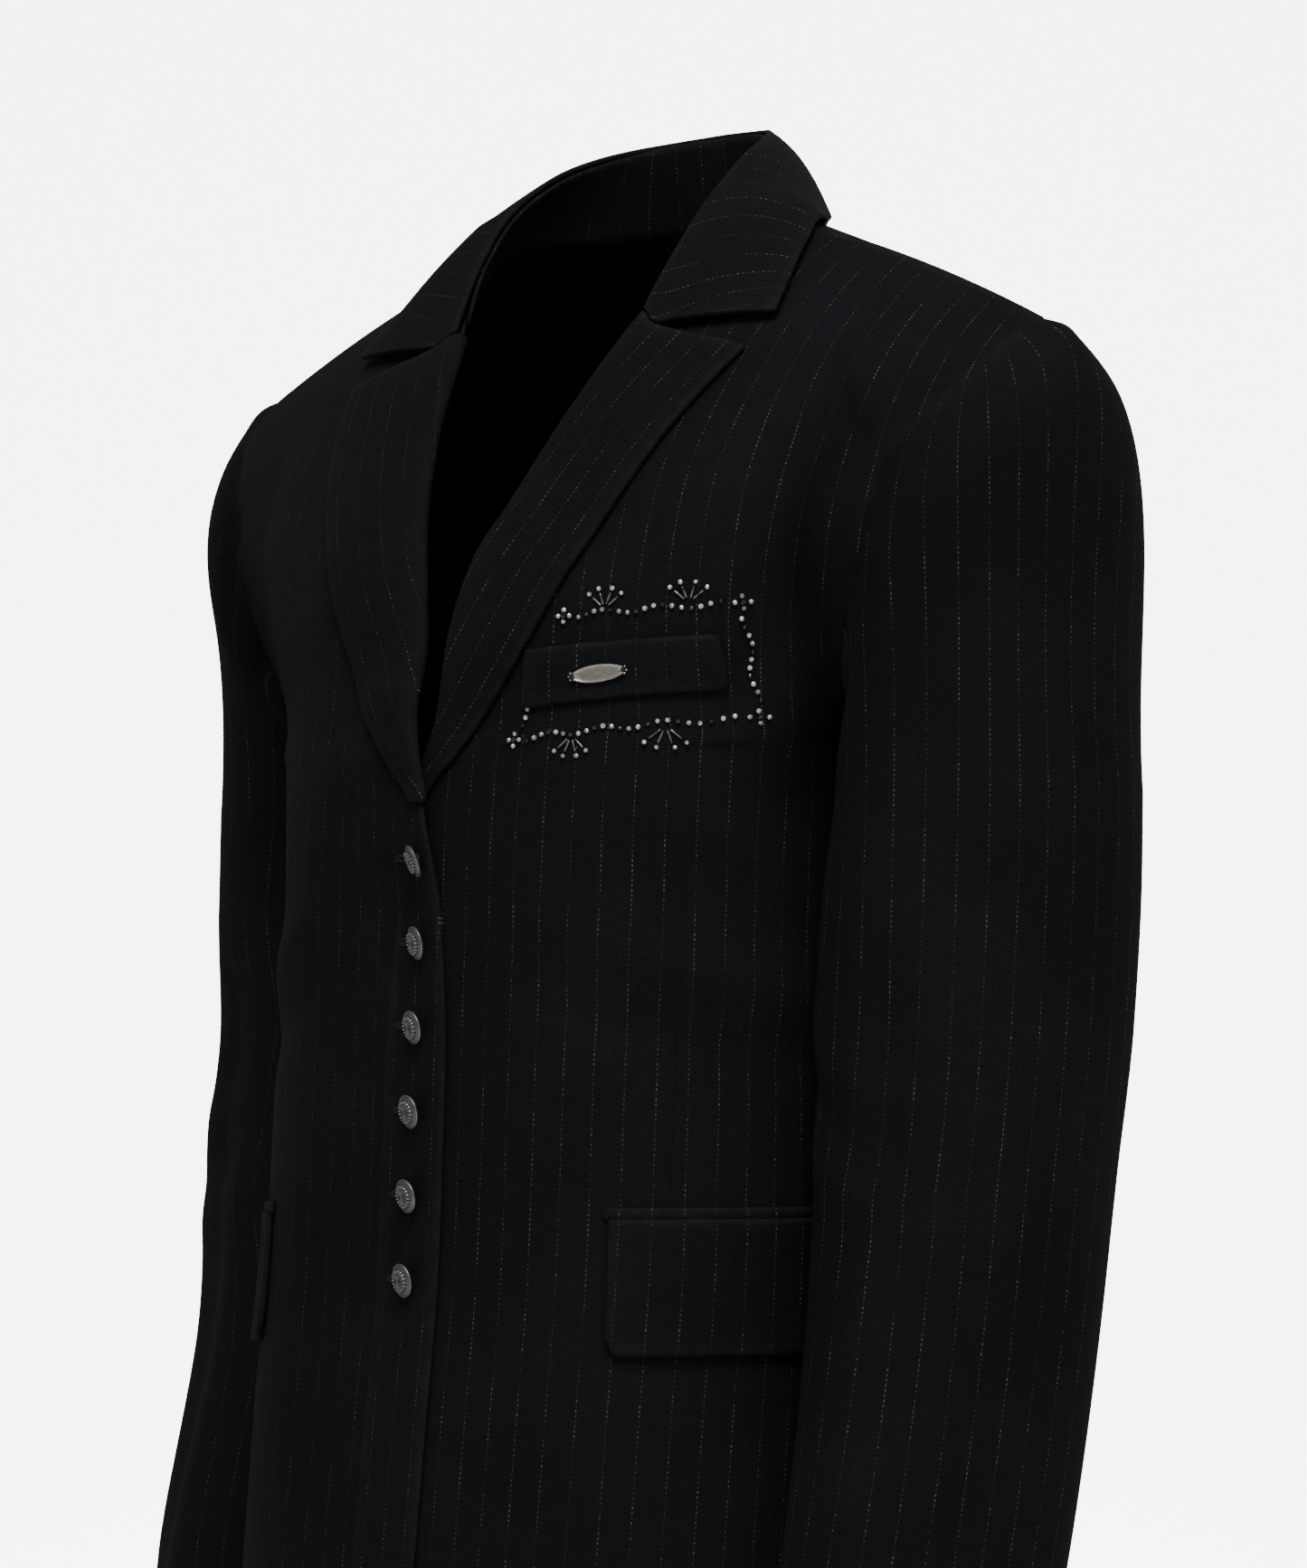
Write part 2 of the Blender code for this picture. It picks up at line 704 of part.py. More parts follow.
def grid_normals(grid, away):
    a = np.gradient(grid, axis=0)
    b = np.gradient(grid, axis=1)
    n = np.cross(a, b)
    n /= np.linalg.norm(n, axis=-1, keepdims=True) + 1e-12
    side = np.sign(((grid - away) * n).sum(-1, keepdims=True))
    return n * np.where(side == 0, 1, side)


COLLAR_CENTRE = np.array([0.0, 0.0, -0.09])
fall = collar_fall_grid(14, 6)
fall_n = grid_normals(fall, COLLAR_CENTRE)
fall_outer = fall + fall_n * COLLAR_THICK / 2
fall_inner = fall - fall_n * COLLAR_THICK / 2
wall("collar_fall", fall_outer, fall_inner, "wool_collar", WOOL)


def stand_grid(stations, count):
    """The stand rises from the neck seam and leans in to meet the fold from inside."""
    rows = []
    for t in np.linspace(0.20, 1, stations):
        fold = collar_at(t)[:3]
        path = collar_path(t, 7)
        fall_way = path[1] - path[0]
        n = np.cross(collar_at(min(t + 0.02, 1))[:3] - collar_at(max(t - 0.02, 0))[:3], fall_way)
        n /= np.linalg.norm(n)
        if np.dot(n, fold - COLLAR_CENTRE) < 0:
            n = -n
        top = fold - n * 0.0026
        neck = neck_seam(t)
        lean = top * 0.35 + neck * 0.65
        lean[2] = 0.5 * (top[2] + neck[2])
        s = np.linspace(0, 1, count)[:, None]
        rows.append((1 - s) ** 2 * neck + 2 * s * (1 - s) * lean + s * s * top)
    rows = np.array(rows)
    mirror = rows[::-1][1:] * np.array([-1, 1, 1])
    return np.concatenate([rows, mirror])


NECK_PATH = by_length(
    (
        (0.0535, -0.0480, -0.0330),
        (0.0610, -0.0330, -0.0200),
        (0.0680, -0.0100, -0.0010),
        (0.0680, 0.0080, 0.0070),
        (0.0600, 0.0260, 0.0110),
        (0.0440, 0.0420, 0.0140),
        (0.0220, 0.0540, 0.0160),
        (0.0000, 0.0580, 0.0170),
    )
)


def neck_seam(t):
    return NECK_PATH((t - 0.20) / 0.80)


stand = stand_grid(13, 4)
stand_n = grid_normals(stand, COLLAR_CENTRE + np.array([0, 0, 0.1]))
wall("collar_stand", stand + stand_n * 0.0009, stand - stand_n * 0.0009, "wool_collar_stand", WOOL)


# Under sleeve between these places round the sleeve, and columns of each piece
UNDER_LO = math.radians(118)
UNDER_HI = math.radians(238)
TOP_COUNT = 17
UNDER_COUNT = 8


def sleeve(word, side, axis_at):
    """Top sleeve and under sleeve, cut from one run of rings so that they meet along both seams."""
    qs = np.concatenate([np.linspace(0, 1, 8), 1 + np.linspace(0, 1, 12)[1:]])
    dense = np.linspace(UNDER_HI - 2 * math.pi, UNDER_HI, 361)
    cut = int(np.argmin(np.abs(dense - UNDER_LO)))
    rows = []
    for q in qs:
        ring = sleeve_mid(axis_at, dense, q)
        run = np.concatenate([[0], np.cumsum(np.linalg.norm(np.diff(ring, axis=0), axis=1))])
        top = np.linspace(SEAM, run[cut] - SEAM, TOP_COUNT)
        under = np.linspace(run[cut] + SEAM, run[-1] - SEAM, UNDER_COUNT)
        at = np.concatenate([under[-1:] - run[-1], top, under, top[:1] + run[-1]]) % run[-1]
        rows.append(np.stack([np.interp(at, run, ring[:, k]) for k in range(3)], -1))
    grid = np.array(rows)
    centre = grid[:, 1:-1].mean(1, keepdims=True)
    n = grid_normals(grid, centre)
    split = 1 + TOP_COUNT
    for a, b in ((split - 1, split), (1, -2)):
        shared = n[:, a] + n[:, b]
        shared /= np.linalg.norm(shared, axis=-1, keepdims=True)
        n[:, a] = shared
        n[:, b] = shared
    outer = grid + n * CLOTH / 2
    inner = grid - n * CLOTH / 2
    wall("sleeve_top_" + word, outer[:, 1:split], inner[:, 1:split], "wool_sleeve", WOOL, side)
    wall("sleeve_under_" + word, outer[:, split:-1], inner[:, split:-1], "wool_sleeve_under", WOOL, side)


sleeve("left", 1, sleeve_left_at)
sleeve("right", -1, sleeve_right_at)


def run_at_x(h, x):
    return row_run_at_x(front_row(h), x)


def run_at_place(x, z):
    """Height and run on a front for a place seen from in front."""
    if z <= UNDERARM_Z:
        h = z - UNDERARM_Z
        return h, run_at_x(h, x)
    lo = -0.05
    hi = RISE
    for _ in range(40):
        h = (lo + hi) / 2
        line = front_row(h)
        p = along(line, [row_run_at_x(line, x)])[0]
        if p[2] < z:
            lo = h
        else:
            hi = h
    return h, run_at_x(h, x)


def patch(name, frame_of, places, counts, low, high, slot, side=1):
    """A piece on a front between four places: low left, low right, top right, top left."""
    rows, cols = counts
    outer = []
    inner = []
    places = np.array(places, float)
    for i in range(rows):
        a = i / (rows - 1)
        left = places[0] * (1 - a) + places[3] * a
        right = places[1] * (1 - a) + places[2] * a
        outer_line = []
        inner_line = []
        for j in range(cols):
            b = j / (cols - 1)
            p, n = frame_of(*(left * (1 - b) + right * b))
            outer_line.append(p[0] + n[0] * high)
            inner_line.append(p[0] + n[0] * low)
        outer.append(outer_line)
        inner.append(inner_line)
    return wall(name, np.array(outer), np.array(inner), slot, WOOL, side)


def chest_frame(x, z):
    h, run = run_at_place(x, z)
    return front_frame(False, h, [run])


# Chest welt as seen from in front: x, z
WELT = ((0.0500, -0.2110), (0.1250, -0.2045), (0.1245, -0.1835), (0.0500, -0.1880))
patch("chest_welt", chest_frame, WELT, (4, 12), 0.0019, 0.0037, "wool_welt")

# Hip pockets: runs along the front's row from the edge, levels
FLAP_START = 0.116
FLAP_WIDTH = 0.128
FLAP_TOP_Z = -0.4175
FLAP_LOW_Z = -0.4705
JET_OVER = 0.0020
JET_LOW_Z = FLAP_TOP_Z + 0.0004
JET_TOP_Z = FLAP_TOP_Z + 0.0046


def pocket(word, over, side):
    def hip_frame(run, z):
        return front_frame(over, z - UNDERARM_Z, [run])
    a = FLAP_START
    b = FLAP_START + FLAP_WIDTH
    flap = ((a, FLAP_LOW_Z), (b, FLAP_LOW_Z), (b, FLAP_TOP_Z), (a, FLAP_TOP_Z))
    patch("hip_flap_" + word, hip_frame, flap, (5, 13), 0.0014, 0.0036, "wool_flap", side)
    a = a - JET_OVER
    jet = ((a, JET_LOW_Z), (b, JET_LOW_Z), (b, JET_TOP_Z), (a, JET_TOP_Z))
    patch("hip_jet_" + word, hip_frame, jet, (2, 13), 0.0014, 0.0028, "wool_jet", side)


pocket("left", False, 1)
pocket("right", True, -1)


def spun(name, profile, steps, slot, look, place, way):
    """A round piece from a profile of radius and height, set at a place with its axis along a way."""
    way = np.asarray(way, float)
    way = way / np.linalg.norm(way)
    side_way = np.cross(way, (0, 0, 1))
    side_way /= np.linalg.norm(side_way)
    up_way = np.cross(side_way, way)
    points = [place + way * profile[0][1]]
    rings = profile[1:-1]
    for r, height in rings:
        for k in range(steps):
            t = 2 * math.pi * k / steps
            points.append(place + side_way * r * math.cos(t) + up_way * r * math.sin(t) + way * height)
    points.append(place + way * profile[-1][1])
    faces = []
    for k in range(steps):
        faces.append((0, 1 + k, 1 + (k + 1) % steps))
        for i in range(len(rings) - 1):
            a = 1 + i * steps
            b = a + steps
            m = (k + 1) % steps
            faces.append((a + k, b + k, b + m, a + m))
        a = 1 + (len(rings) - 1) * steps
        faces.append((len(points) - 1, a + (k + 1) % steps, a + k))
    return add(name, points, faces, slot, look)


BUTTON_PROFILE = (
    (0.0, 0.0056),
    (0.0030, 0.0054),
    (0.0055, 0.0044),
    (0.0070, 0.0032),
    (BUTTON_R, 0.0024),
    (0.0070, 0.0017),
    (0.0026, 0.0013),
    (0.0024, 0.0),
    (0.0, 0.0),
)


def right_front_at(x, z):
    """Point and normal on the outside of the right front, which lies over the left one."""
    h, run = run_at_place(-x, z)
    p, n = front_frame(True, h, [run])
    p = p[0] * np.array([-1, 1, 1])
    n = n[0] * np.array([-1, 1, 1])
    return p + n * CLOTH / 2, n


# Where a button can touch the cloth: radius, height over its base
RESTS = ((0.0030, 0.0), (BUTTON_R, 0.0020))
# How far each button turns toward the wearer's right on its shank, from the top down
BUTTON_TURN = tuple(math.radians(a) for a in (22, 13, 9, 8, 8, 8))
for k in range(BUTTON_COUNT):
    level = BUTTON_TOP_Z - BUTTON_PITCH * k
    place, way = right_front_at(BUTTON_X, level)
    c = math.cos(BUTTON_TURN[k])
    s = math.sin(BUTTON_TURN[k])
    way = np.array([way[0] * c + way[1] * s, way[1] * c - way[0] * s, way[2]])
    rest = 0.0
    for r, height in RESTS:
        for t in np.linspace(0, 2 * math.pi, 9)[:-1]:
            p, _ = right_front_at(BUTTON_X + r * math.cos(t), level + r * math.sin(t))
            rest = max(rest, float(np.dot(p - place, way)) - height)
    rest += 0.0004
    spun("button_%d" % (k + 1), BUTTON_PROFILE, 18, "button_metal", METAL, place + way * rest, way)


# Oval plate on the welt: middle x and z, half length, half height, tilt, height of its back off the cloth
PLATE_X = 0.0825
PLATE_Z = -0.1985
PLATE_LONG = 0.0122
PLATE_TALL = 0.0039
PLATE_TILT = math.radians(6)
PLATE_OFF = 0.0042


def oval_plate(name):
    """Plain oval plate on the chest welt."""
    h, run = run_at_place(PLATE_X, PLATE_Z)
    p, n = front_frame(False, h, [run])
    n = n[0]
    along_way = np.cross((0, 0, 1), n)
    along_way /= np.linalg.norm(along_way)
    up_way = np.cross(n, along_way)
    side_way = along_way * math.cos(PLATE_TILT) + up_way * math.sin(PLATE_TILT)
    up_way = up_way * math.cos(PLATE_TILT) - along_way * math.sin(PLATE_TILT)
    base = p[0] + n * PLATE_OFF
    rings = ((1.0, 0.0), (1.0, 0.0007), (0.94, 0.0011), (0.6, 0.0013))
    steps = 24
    points = [base]
    for share, height in rings:
        for k in range(steps):
            t = 2 * math.pi * k / steps
            points.append(base + side_way * PLATE_LONG * share * math.cos(t)
                          + up_way * PLATE_TALL * share * math.sin(t) + n * height)
    points.append(base + n * 0.00135)
    faces = []
    for k in range(steps):
        m = (k + 1) % steps
        faces.append((0, 1 + m, 1 + k))
        for i in range(len(rings) - 1):
            a = 1 + i * steps
            faces.append((a + k, a + m, a + steps + m, a + steps + k))
        a = 1 + (len(rings) - 1) * steps
        faces.append((len(points) - 1, a + k, a + m))
    return add(name, points, faces, "plate_metal", METAL)


oval_plate("oval_plate")
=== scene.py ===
# Dressed wool jacket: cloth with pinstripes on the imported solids, buttons with relief, and beads.
import math
from functools import lru_cache, reduce

import bpy
import numpy as np
from mathutils import Matrix, Vector


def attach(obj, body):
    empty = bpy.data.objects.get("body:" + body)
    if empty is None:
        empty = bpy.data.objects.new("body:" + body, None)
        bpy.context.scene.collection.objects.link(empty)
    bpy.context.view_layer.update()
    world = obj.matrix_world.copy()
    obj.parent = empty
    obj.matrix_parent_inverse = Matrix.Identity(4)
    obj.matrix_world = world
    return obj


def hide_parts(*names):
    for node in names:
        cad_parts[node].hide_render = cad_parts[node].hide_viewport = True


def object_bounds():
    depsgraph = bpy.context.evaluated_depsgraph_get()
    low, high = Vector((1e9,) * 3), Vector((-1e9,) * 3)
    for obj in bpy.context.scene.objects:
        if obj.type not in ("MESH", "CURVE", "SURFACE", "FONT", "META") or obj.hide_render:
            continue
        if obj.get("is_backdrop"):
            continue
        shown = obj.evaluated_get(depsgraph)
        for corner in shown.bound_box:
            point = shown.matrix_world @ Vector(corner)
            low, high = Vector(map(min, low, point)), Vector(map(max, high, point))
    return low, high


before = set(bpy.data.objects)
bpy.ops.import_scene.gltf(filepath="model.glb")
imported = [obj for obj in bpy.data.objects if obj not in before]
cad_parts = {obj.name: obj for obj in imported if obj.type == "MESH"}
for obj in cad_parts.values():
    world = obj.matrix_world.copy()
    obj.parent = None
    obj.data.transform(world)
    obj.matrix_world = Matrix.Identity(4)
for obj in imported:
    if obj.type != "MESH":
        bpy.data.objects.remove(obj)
cad_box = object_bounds()

# Driving dimensions
CLOTH = 0.0020
HEM_Z = -0.660
UNDERARM_Z = -0.228
BUTTON_TOP_Z = -0.2707
BUTTON_PITCH = 0.0343
BUTTON_COUNT = 6
BUTTON_X = 0.0030
BUTTON_R = 0.0075
CUFF_Z = -0.622
SLEEVE_TURN = math.radians(20)
COLLAR_THICK = 0.0024
LAPEL_LIP = 0.0034
SHOULDER_CROWN = 0.0045

# Front edge, roll line and neck seam of one front, from the hem up: z, x, y
FRONT_EDGE = (
    (-0.660, -0.0180, -0.163),
    (-0.600, -0.0180, -0.158),
    (-0.560, -0.0180, -0.154),
    (-0.500, -0.0180, -0.147),
    (-0.440, -0.0180, -0.140),
    (-0.360, -0.0178, -0.136),
    (-0.336, -0.0168, -0.135),
    (-0.312, -0.0145, -0.134),
    (-0.290, -0.0118, -0.133),
    (-0.268, -0.0085, -0.1325),
    (-0.250, -0.0045, -0.131),
    (-0.235, 0.0005, -0.1295),
    (-0.226, 0.0034, -0.128),
    (-0.216, 0.0058, -0.126),
    (-0.178, 0.0108, -0.121),
    (-0.149, 0.0180, -0.1145),
    (-0.128, 0.0272, -0.1045),
    (-0.091, 0.0400, -0.0845),
    (-0.046, 0.0540, -0.0530),
    (-0.030, 0.0620, -0.040),
    (-0.012, 0.0695, -0.020),
    (0.000, 0.0745, 0.000),
)

# Torso below the underarm: z, half width, back depth, squareness of the front, of the back
TORSO = (
    (-0.660, 0.150, 0.135, 2.7, 2.3),
    (-0.560, 0.146, 0.128, 2.8, 2.3),
    (-0.440, 0.142, 0.115, 2.9, 2.3),
    (-0.360, 0.139, 0.107, 2.9, 2.3),
    (-0.285, 0.137, 0.105, 2.8, 2.3),
    (-0.228, 0.143, 0.115, 2.7, 2.3),
)

# Armhole from the underarm to the shoulder tip: x, y, z
ARMHOLE_FRONT = (
    (0.143, 0.000, -0.228),
    (0.147, -0.028, -0.222),
    (0.160, -0.055, -0.190),
    (0.176, -0.062, -0.146),
    (0.186, -0.055, -0.111),
    (0.208, -0.030, -0.080),
    (0.2185, 0.000, -0.055),
)
ARMHOLE_BACK = (
    (0.143, 0.000, -0.228),
    (0.148, 0.030, -0.223),
    (0.163, 0.058, -0.193),
    (0.182, 0.066, -0.150),
    (0.198, 0.058, -0.108),
    (0.2130, 0.033, -0.075),
    (0.2185, 0.000, -0.055),
)

# Centre back and back neck seam, from underarm level up: x, y, z
BACK_EDGE = (
    (0.000, 0.115, -0.228),
    (0.000, 0.121, -0.160),
    (0.000, 0.116, -0.090),
    (0.000, 0.100, -0.040),
    (0.000, 0.082, -0.008),
    (0.000, 0.064, 0.010),
    (0.030, 0.057, 0.009),
    (0.055, 0.039, 0.006),
    (0.070, 0.018, 0.003),
    (0.0745, 0.000, 0.000),
)

# Outer edge of the lapel: z, x
LAPEL_EDGE = (
    (-0.250, 0.0020),
    (-0.2375, 0.0105),
    (-0.219, 0.0255),
    (-0.197, 0.0416),
    (-0.175, 0.0556),
    (-0.132, 0.0800),
    (-0.096, 0.0964),
    (-0.050, 0.1180),
)

# Collar from its front end round to the centre back: fold x, y, z, then fall edge x, y
COLLAR = (
    (0.0530, -0.0570, -0.0440, 0.1170, -0.0445),
    (0.0545, -0.0525, -0.0350, 0.1155, -0.0380),
    (0.0580, -0.0390, -0.0145, 0.1105, -0.0240),
    (0.0600, -0.0170, 0.0120, 0.1010, -0.0010),
    (0.0555, 0.0090, 0.0315, 0.0865, 0.0210),
    (0.0455, 0.0310, 0.0415, 0.0665, 0.0430),
    (0.0270, 0.0500, 0.0475, 0.0385, 0.0650),
    (0.0000, 0.0570, 0.0495, 0.0000, 0.0740),
)

# Sleeve rings below the cap: z, centre x, centre y, half width, half depth
SLEEVE = (
    (-0.245, 0.1880, 0.0000, 0.0490, 0.0670),
    (-0.285, 0.1880, -0.0020, 0.0480, 0.0660),
    (-0.340, 0.1880, -0.0060, 0.0470, 0.0645),
    (-0.400, 0.1880, -0.0120, 0.0460, 0.0630),
    (-0.470, 0.1890, -0.0230, 0.0450, 0.0620),
    (-0.556, 0.1910, -0.0430, 0.0430, 0.0600),
    (-0.622, 0.1910, -0.0590, 0.0420, 0.0560),
)
# How much further back the right sleeve hangs: z, distance
RIGHT_BACK = ((-0.245, 0.011), (-0.285, 0.015), (-0.340, 0.019), (-0.400, 0.022), (-0.470, 0.021),
              (-0.556, 0.018), (-0.622, 0.016))
# How much wider each sleeve is on each of its rings
LEFT_WIDE = (0.0, 0.0015, 0.0020, 0.0, -0.0010, -0.0010, -0.0010)
RIGHT_WIDE = (0.0, 0.003, 0.001, 0.006, 0.001, 0.001, 0.0)


def between(t, start, leave, end, arrive):
    """A cubic from one place and slope to another, with t from 0 to 1."""
    return (
        (1 + 2 * t) * (1 - t) ** 2 * start
        + t * (1 - t) ** 2 * leave
        + t * t * (3 - 2 * t) * end
        + t * t * (t - 1) * arrive
    )


def smooth(keys, values):
    """A curve through a short table that never overshoots its values."""
    keys = np.asarray(keys, float)
    values = np.asarray(values, float)
    single = values.ndim == 1
    if single:
        values = values[:, None]
    step = np.diff(keys)[:, None]
    rise = np.diff(values, axis=0) / step
    slope = np.zeros_like(values)
    slope[0] = rise[0]
    slope[-1] = rise[-1]
    for i in range(1, len(keys) - 1):
        same = rise[i - 1] * rise[i] > 0
        total = np.where(same, rise[i - 1] + rise[i], 1.0)
        slope[i] = np.where(same, 2 * rise[i - 1] * rise[i] / total, 0.0)

    def at(q):
        q = np.clip(np.asarray(q, float), keys[0], keys[-1])
        i = np.clip(np.searchsorted(keys, q, side="right") - 1, 0, len(keys) - 2)
        h = keys[i + 1] - keys[i]
        t = ((q - keys[i]) / h)[..., None]
        h = h[..., None]
        out = between(t, values[i], h * slope[i], values[i + 1], h * slope[i + 1])
        return out[..., 0] if single else out

    return at


def run_along(points):
    """Distance along a line of points, from 0 at its start."""
    return np.concatenate([[0], np.cumsum(np.linalg.norm(np.diff(points, axis=0), axis=1))])


def by_length(points):
    """A smooth path through points, from 0 at its start to 1 at its end."""
    points = np.asarray(points, float)
    run = run_along(points)
    return smooth(run / run[-1], points)


def step_up(q, lo, hi):
    t = np.clip((np.asarray(q, float) - lo) / (hi - lo), 0, 1)
    return t * t * (3 - 2 * t)


def window(q, up_lo, up_hi, down_lo, down_hi):
    """0 outside, 1 in the middle, smooth at both sides."""
    return step_up(q, up_lo, up_hi) * (1 - step_up(q, down_lo, down_hi))


def bell(offset, width):
    """A smooth hump of height 1 where the offset is 0."""
    return np.exp(-((offset / width) ** 2))


front_edge_at = smooth([r[0] for r in FRONT_EDGE], [(r[1], r[2], r[0]) for r in FRONT_EDGE])
torso_at = smooth([r[0] for r in TORSO], [r[1:] for r in TORSO])
armhole_front_at = by_length(ARMHOLE_FRONT)
armhole_back_at = by_length(ARMHOLE_BACK)
back_edge_at = by_length(BACK_EDGE)
lapel_edge_at = smooth([r[0] for r in LAPEL_EDGE], [r[1] for r in LAPEL_EDGE])
sleeve_left_at = smooth(
    [-r[0] for r in SLEEVE],
    [(r[1], r[2], r[3] + w, r[4] + w) for r, w in zip(SLEEVE, LEFT_WIDE)],
)
sleeve_right_at = smooth(
    [-r[0] for r in SLEEVE],
    [(r[1], r[2] + b[1], r[3] + w, r[4] + w) for r, b, w in zip(SLEEVE, RIGHT_BACK, RIGHT_WIDE)],
)

rise_z = np.linspace(UNDERARM_Z, 0, 400)
rise_points = front_edge_at(rise_z)
rise_run = run_along(rise_points)
RISE = rise_run[-1]


def dense_row(left, right, squareness, bulge=0.0, open_end=0.0, crown=0.0):
    """One level row of a panel, from its centre edge round to its side, as a dense line."""
    start = max(left[0], 0.0)
    reach = right[0] - start
    back = min(1.0, (start - left[0]) / reach)
    first = -math.asin(back ** (squareness / 2))
    turn = np.linspace(first, math.pi / 2, 240)
    across = np.sign(np.sin(turn)) * np.abs(np.sin(turn)) ** (2 / squareness)
    depth = np.abs(np.cos(turn)) ** (2 / squareness)
    inside = np.clip(across, 0, 1)
    hump = 4 * inside * (1 - inside)
    depth = depth * (1 - open_end) + (1 - inside**2.6) * open_end
    x = start + reach * across
    y = right[1] + (left[1] - right[1]) * depth + bulge * hump
    z = left[2] + (right[2] - left[2]) * inside + crown * hump
    return np.stack([x, y, z], -1)


@lru_cache(maxsize=8192)
def front_row(h):
    """Height h is in metres from the underarm: below it down the side seam, above it up the armhole."""
    if h <= 0:
        z = UNDERARM_Z + h
        width, _, square, _ = torso_at(z)
        left = front_edge_at(z)
        return dense_row(left, (width, 0.0, z), square)
    part = min(h / RISE, 1.0)
    left = front_edge_at(np.interp(part * RISE, rise_run, rise_z))
    right = armhole_front_at(part)
    square = 2.7 - 0.5 * step_up(part, 0, 0.5)
    bulge = -0.009 * math.sin(math.pi * part) ** 2
    return dense_row(left, right, square, bulge, step_up(part, 0, 0.35), SHOULDER_CROWN * part**4)


@lru_cache(maxsize=8192)
def back_row(h):
    if h <= 0:
        z = UNDERARM_Z + h
        width, depth, _, square = torso_at(z)
        return dense_row((0.0, depth, z), (width, 0.0, z), square)
    part = min(h / RISE, 1.0)
    left = back_edge_at(part)
    right = armhole_back_at(part)
    bulge = 0.013 * math.sin(math.pi * part) ** 2
    return dense_row(left, right, 2.5, bulge, step_up(part, 0, 0.35), SHOULDER_CROWN * part**4)


def along(line, run):
    """Points at distances along a line, carried on straight past its start."""
    gone = run_along(line)
    run = np.asarray(run, float)
    out = np.stack([np.interp(run, gone, line[:, k]) for k in range(3)], -1)
    way = (line[3] - line[0]) / np.linalg.norm(line[3] - line[0])
    return out + np.minimum(run, 0)[..., None] * way


# Chest folds beside the armhole: z, x of the trough, depth
FOLD = smooth(
    [-0.225, -0.200, -0.180, -0.140, -0.105, -0.080],
    [(0.138, 0), (0.143, 0.003), (0.150, 0.004), (0.152, 0.004), (0.156, 0.003), (0.160, 0)],
)
# How many times as deep as its table the fold is, on the left front and on the right one that lies over it
FOLD_DEPTH = {False: 1.9, True: 0.5}
# Painted shade in the chest fold, laid dark into the cloth's colour: z, x of its middle, strength
FOLD_SHADE = smooth(
    [-0.262, -0.235, -0.206, -0.180, -0.155, -0.132, -0.105, -0.085],
    [(0.139, 0), (0.142, 0.95), (0.150, 0.9), (0.1525, 0.8), (0.1515, 0.75), (0.1545, 0.65),
     (0.160, 0.3), (0.164, 0)],
)


def front_weight(p):
    """1 on the front of the body, down to 0 at the side seam."""
    return step_up(-p[..., 1], 0.01, 0.06)


def front_lift(over, p):
    """How far a front stands off its base form: the overlap of the two fronts and the chest folds."""
    x = p[..., 0]
    z = p[..., 2]
    near = (1 - step_up(x, 0.022, 0.055)) * (1 - step_up(z, -0.214, -0.180))
    trough, depth = np.moveaxis(FOLD(z), -1, 0)
    fold = 0.1 * bell(x - trough + 0.028, 0.012) - bell(x - trough + 0.004, 0.0125)
    fold = fold * depth * FOLD_DEPTH[over]
    drag = 0.0022 * bell(z + 0.300 + 0.5 * (x - 0.08), 0.012) * step_up(x, 0.03, 0.09)
    drag -= 0.0020 * bell(z + 0.335 + 0.35 * (x - 0.08), 0.011) * step_up(x, 0.04, 0.1)
    lift = -0.0013 * near
    if over:
        lift = near * (0.0013 + 0.0052 * step_up(z, -0.295, -0.250))
        lift = lift - 0.0042 * window(x, -0.018, 0.030, 0.034, 0.075) * (1 - step_up(z, -0.250, -0.225))
    return lift + fold + drag * front_weight(p)


def base_front(h, run):
    return along(front_row(h), run)


def surface_normal(point_at, h, run, away):
    """Unit normal of a surface given by height and run, on the side away from a middle line."""
    e = 0.0006
    a = point_at(h, run + e) - point_at(h, run - e)
    hi = min(h + e, RISE)
    b = point_at(hi, run) - point_at(hi - 2 * e, run)
    n = np.cross(a, b)
    n /= np.linalg.norm(n, axis=-1, keepdims=True) + 1e-12
    p = point_at(h, run)
    side = np.sign(((p - away) * n).sum(-1, keepdims=True))
    return n * np.where(side == 0, 1, side)


def middle_for(h):
    """A place inside the body, near the height of a row."""
    return np.array([0.05, 0.0, min(UNDERARM_Z + h * 0.3, -0.15)])


def front_mid(over, h, run):
    run = np.asarray(run, float)
    p = base_front(h, run)
    n = surface_normal(base_front, h, run, middle_for(h))
    return p + n * front_lift(over, p)[..., None]


def front_frame(over, h, run):
    """Points on a front and the way out of it, for one row and distances along it."""
    run = np.asarray(run, float)

    def point_at(level, place):
        return front_mid(over, level, place)

    return point_at(h, run), surface_normal(point_at, h, run, middle_for(h))


def base_back(h, run):
    return along(back_row(h), run)


def back_frame(h, run):
    run = np.asarray(run, float)
    return base_back(h, run), surface_normal(base_back, h, run, middle_for(h))


def halve(lo, hi, below):
    """The value between two limits where a test stops being true."""
    for _ in range(40):
        mid = (lo + hi) / 2
        if below(mid):
            lo = mid
        else:
            hi = mid
    return (lo + hi) / 2


def row_run_at_x(line, x):
    return float(np.interp(x, line[:, 0], run_along(line)))


def on_shoulder(x, y):
    """Point and normal on the upper body over a place in plan."""
    row, sign = (front_row, 1) if y <= 0 else (back_row, -1)

    def outside(h):
        line = row(h)
        return sign * (along(line, [row_run_at_x(line, x)])[0][1] - y) < 0

    h = halve(0.0, RISE, outside)
    run = [row_run_at_x(row(h), x)]
    p, n = front_frame(False, h, run) if y <= 0 else back_frame(h, run)
    return p[0], n[0]


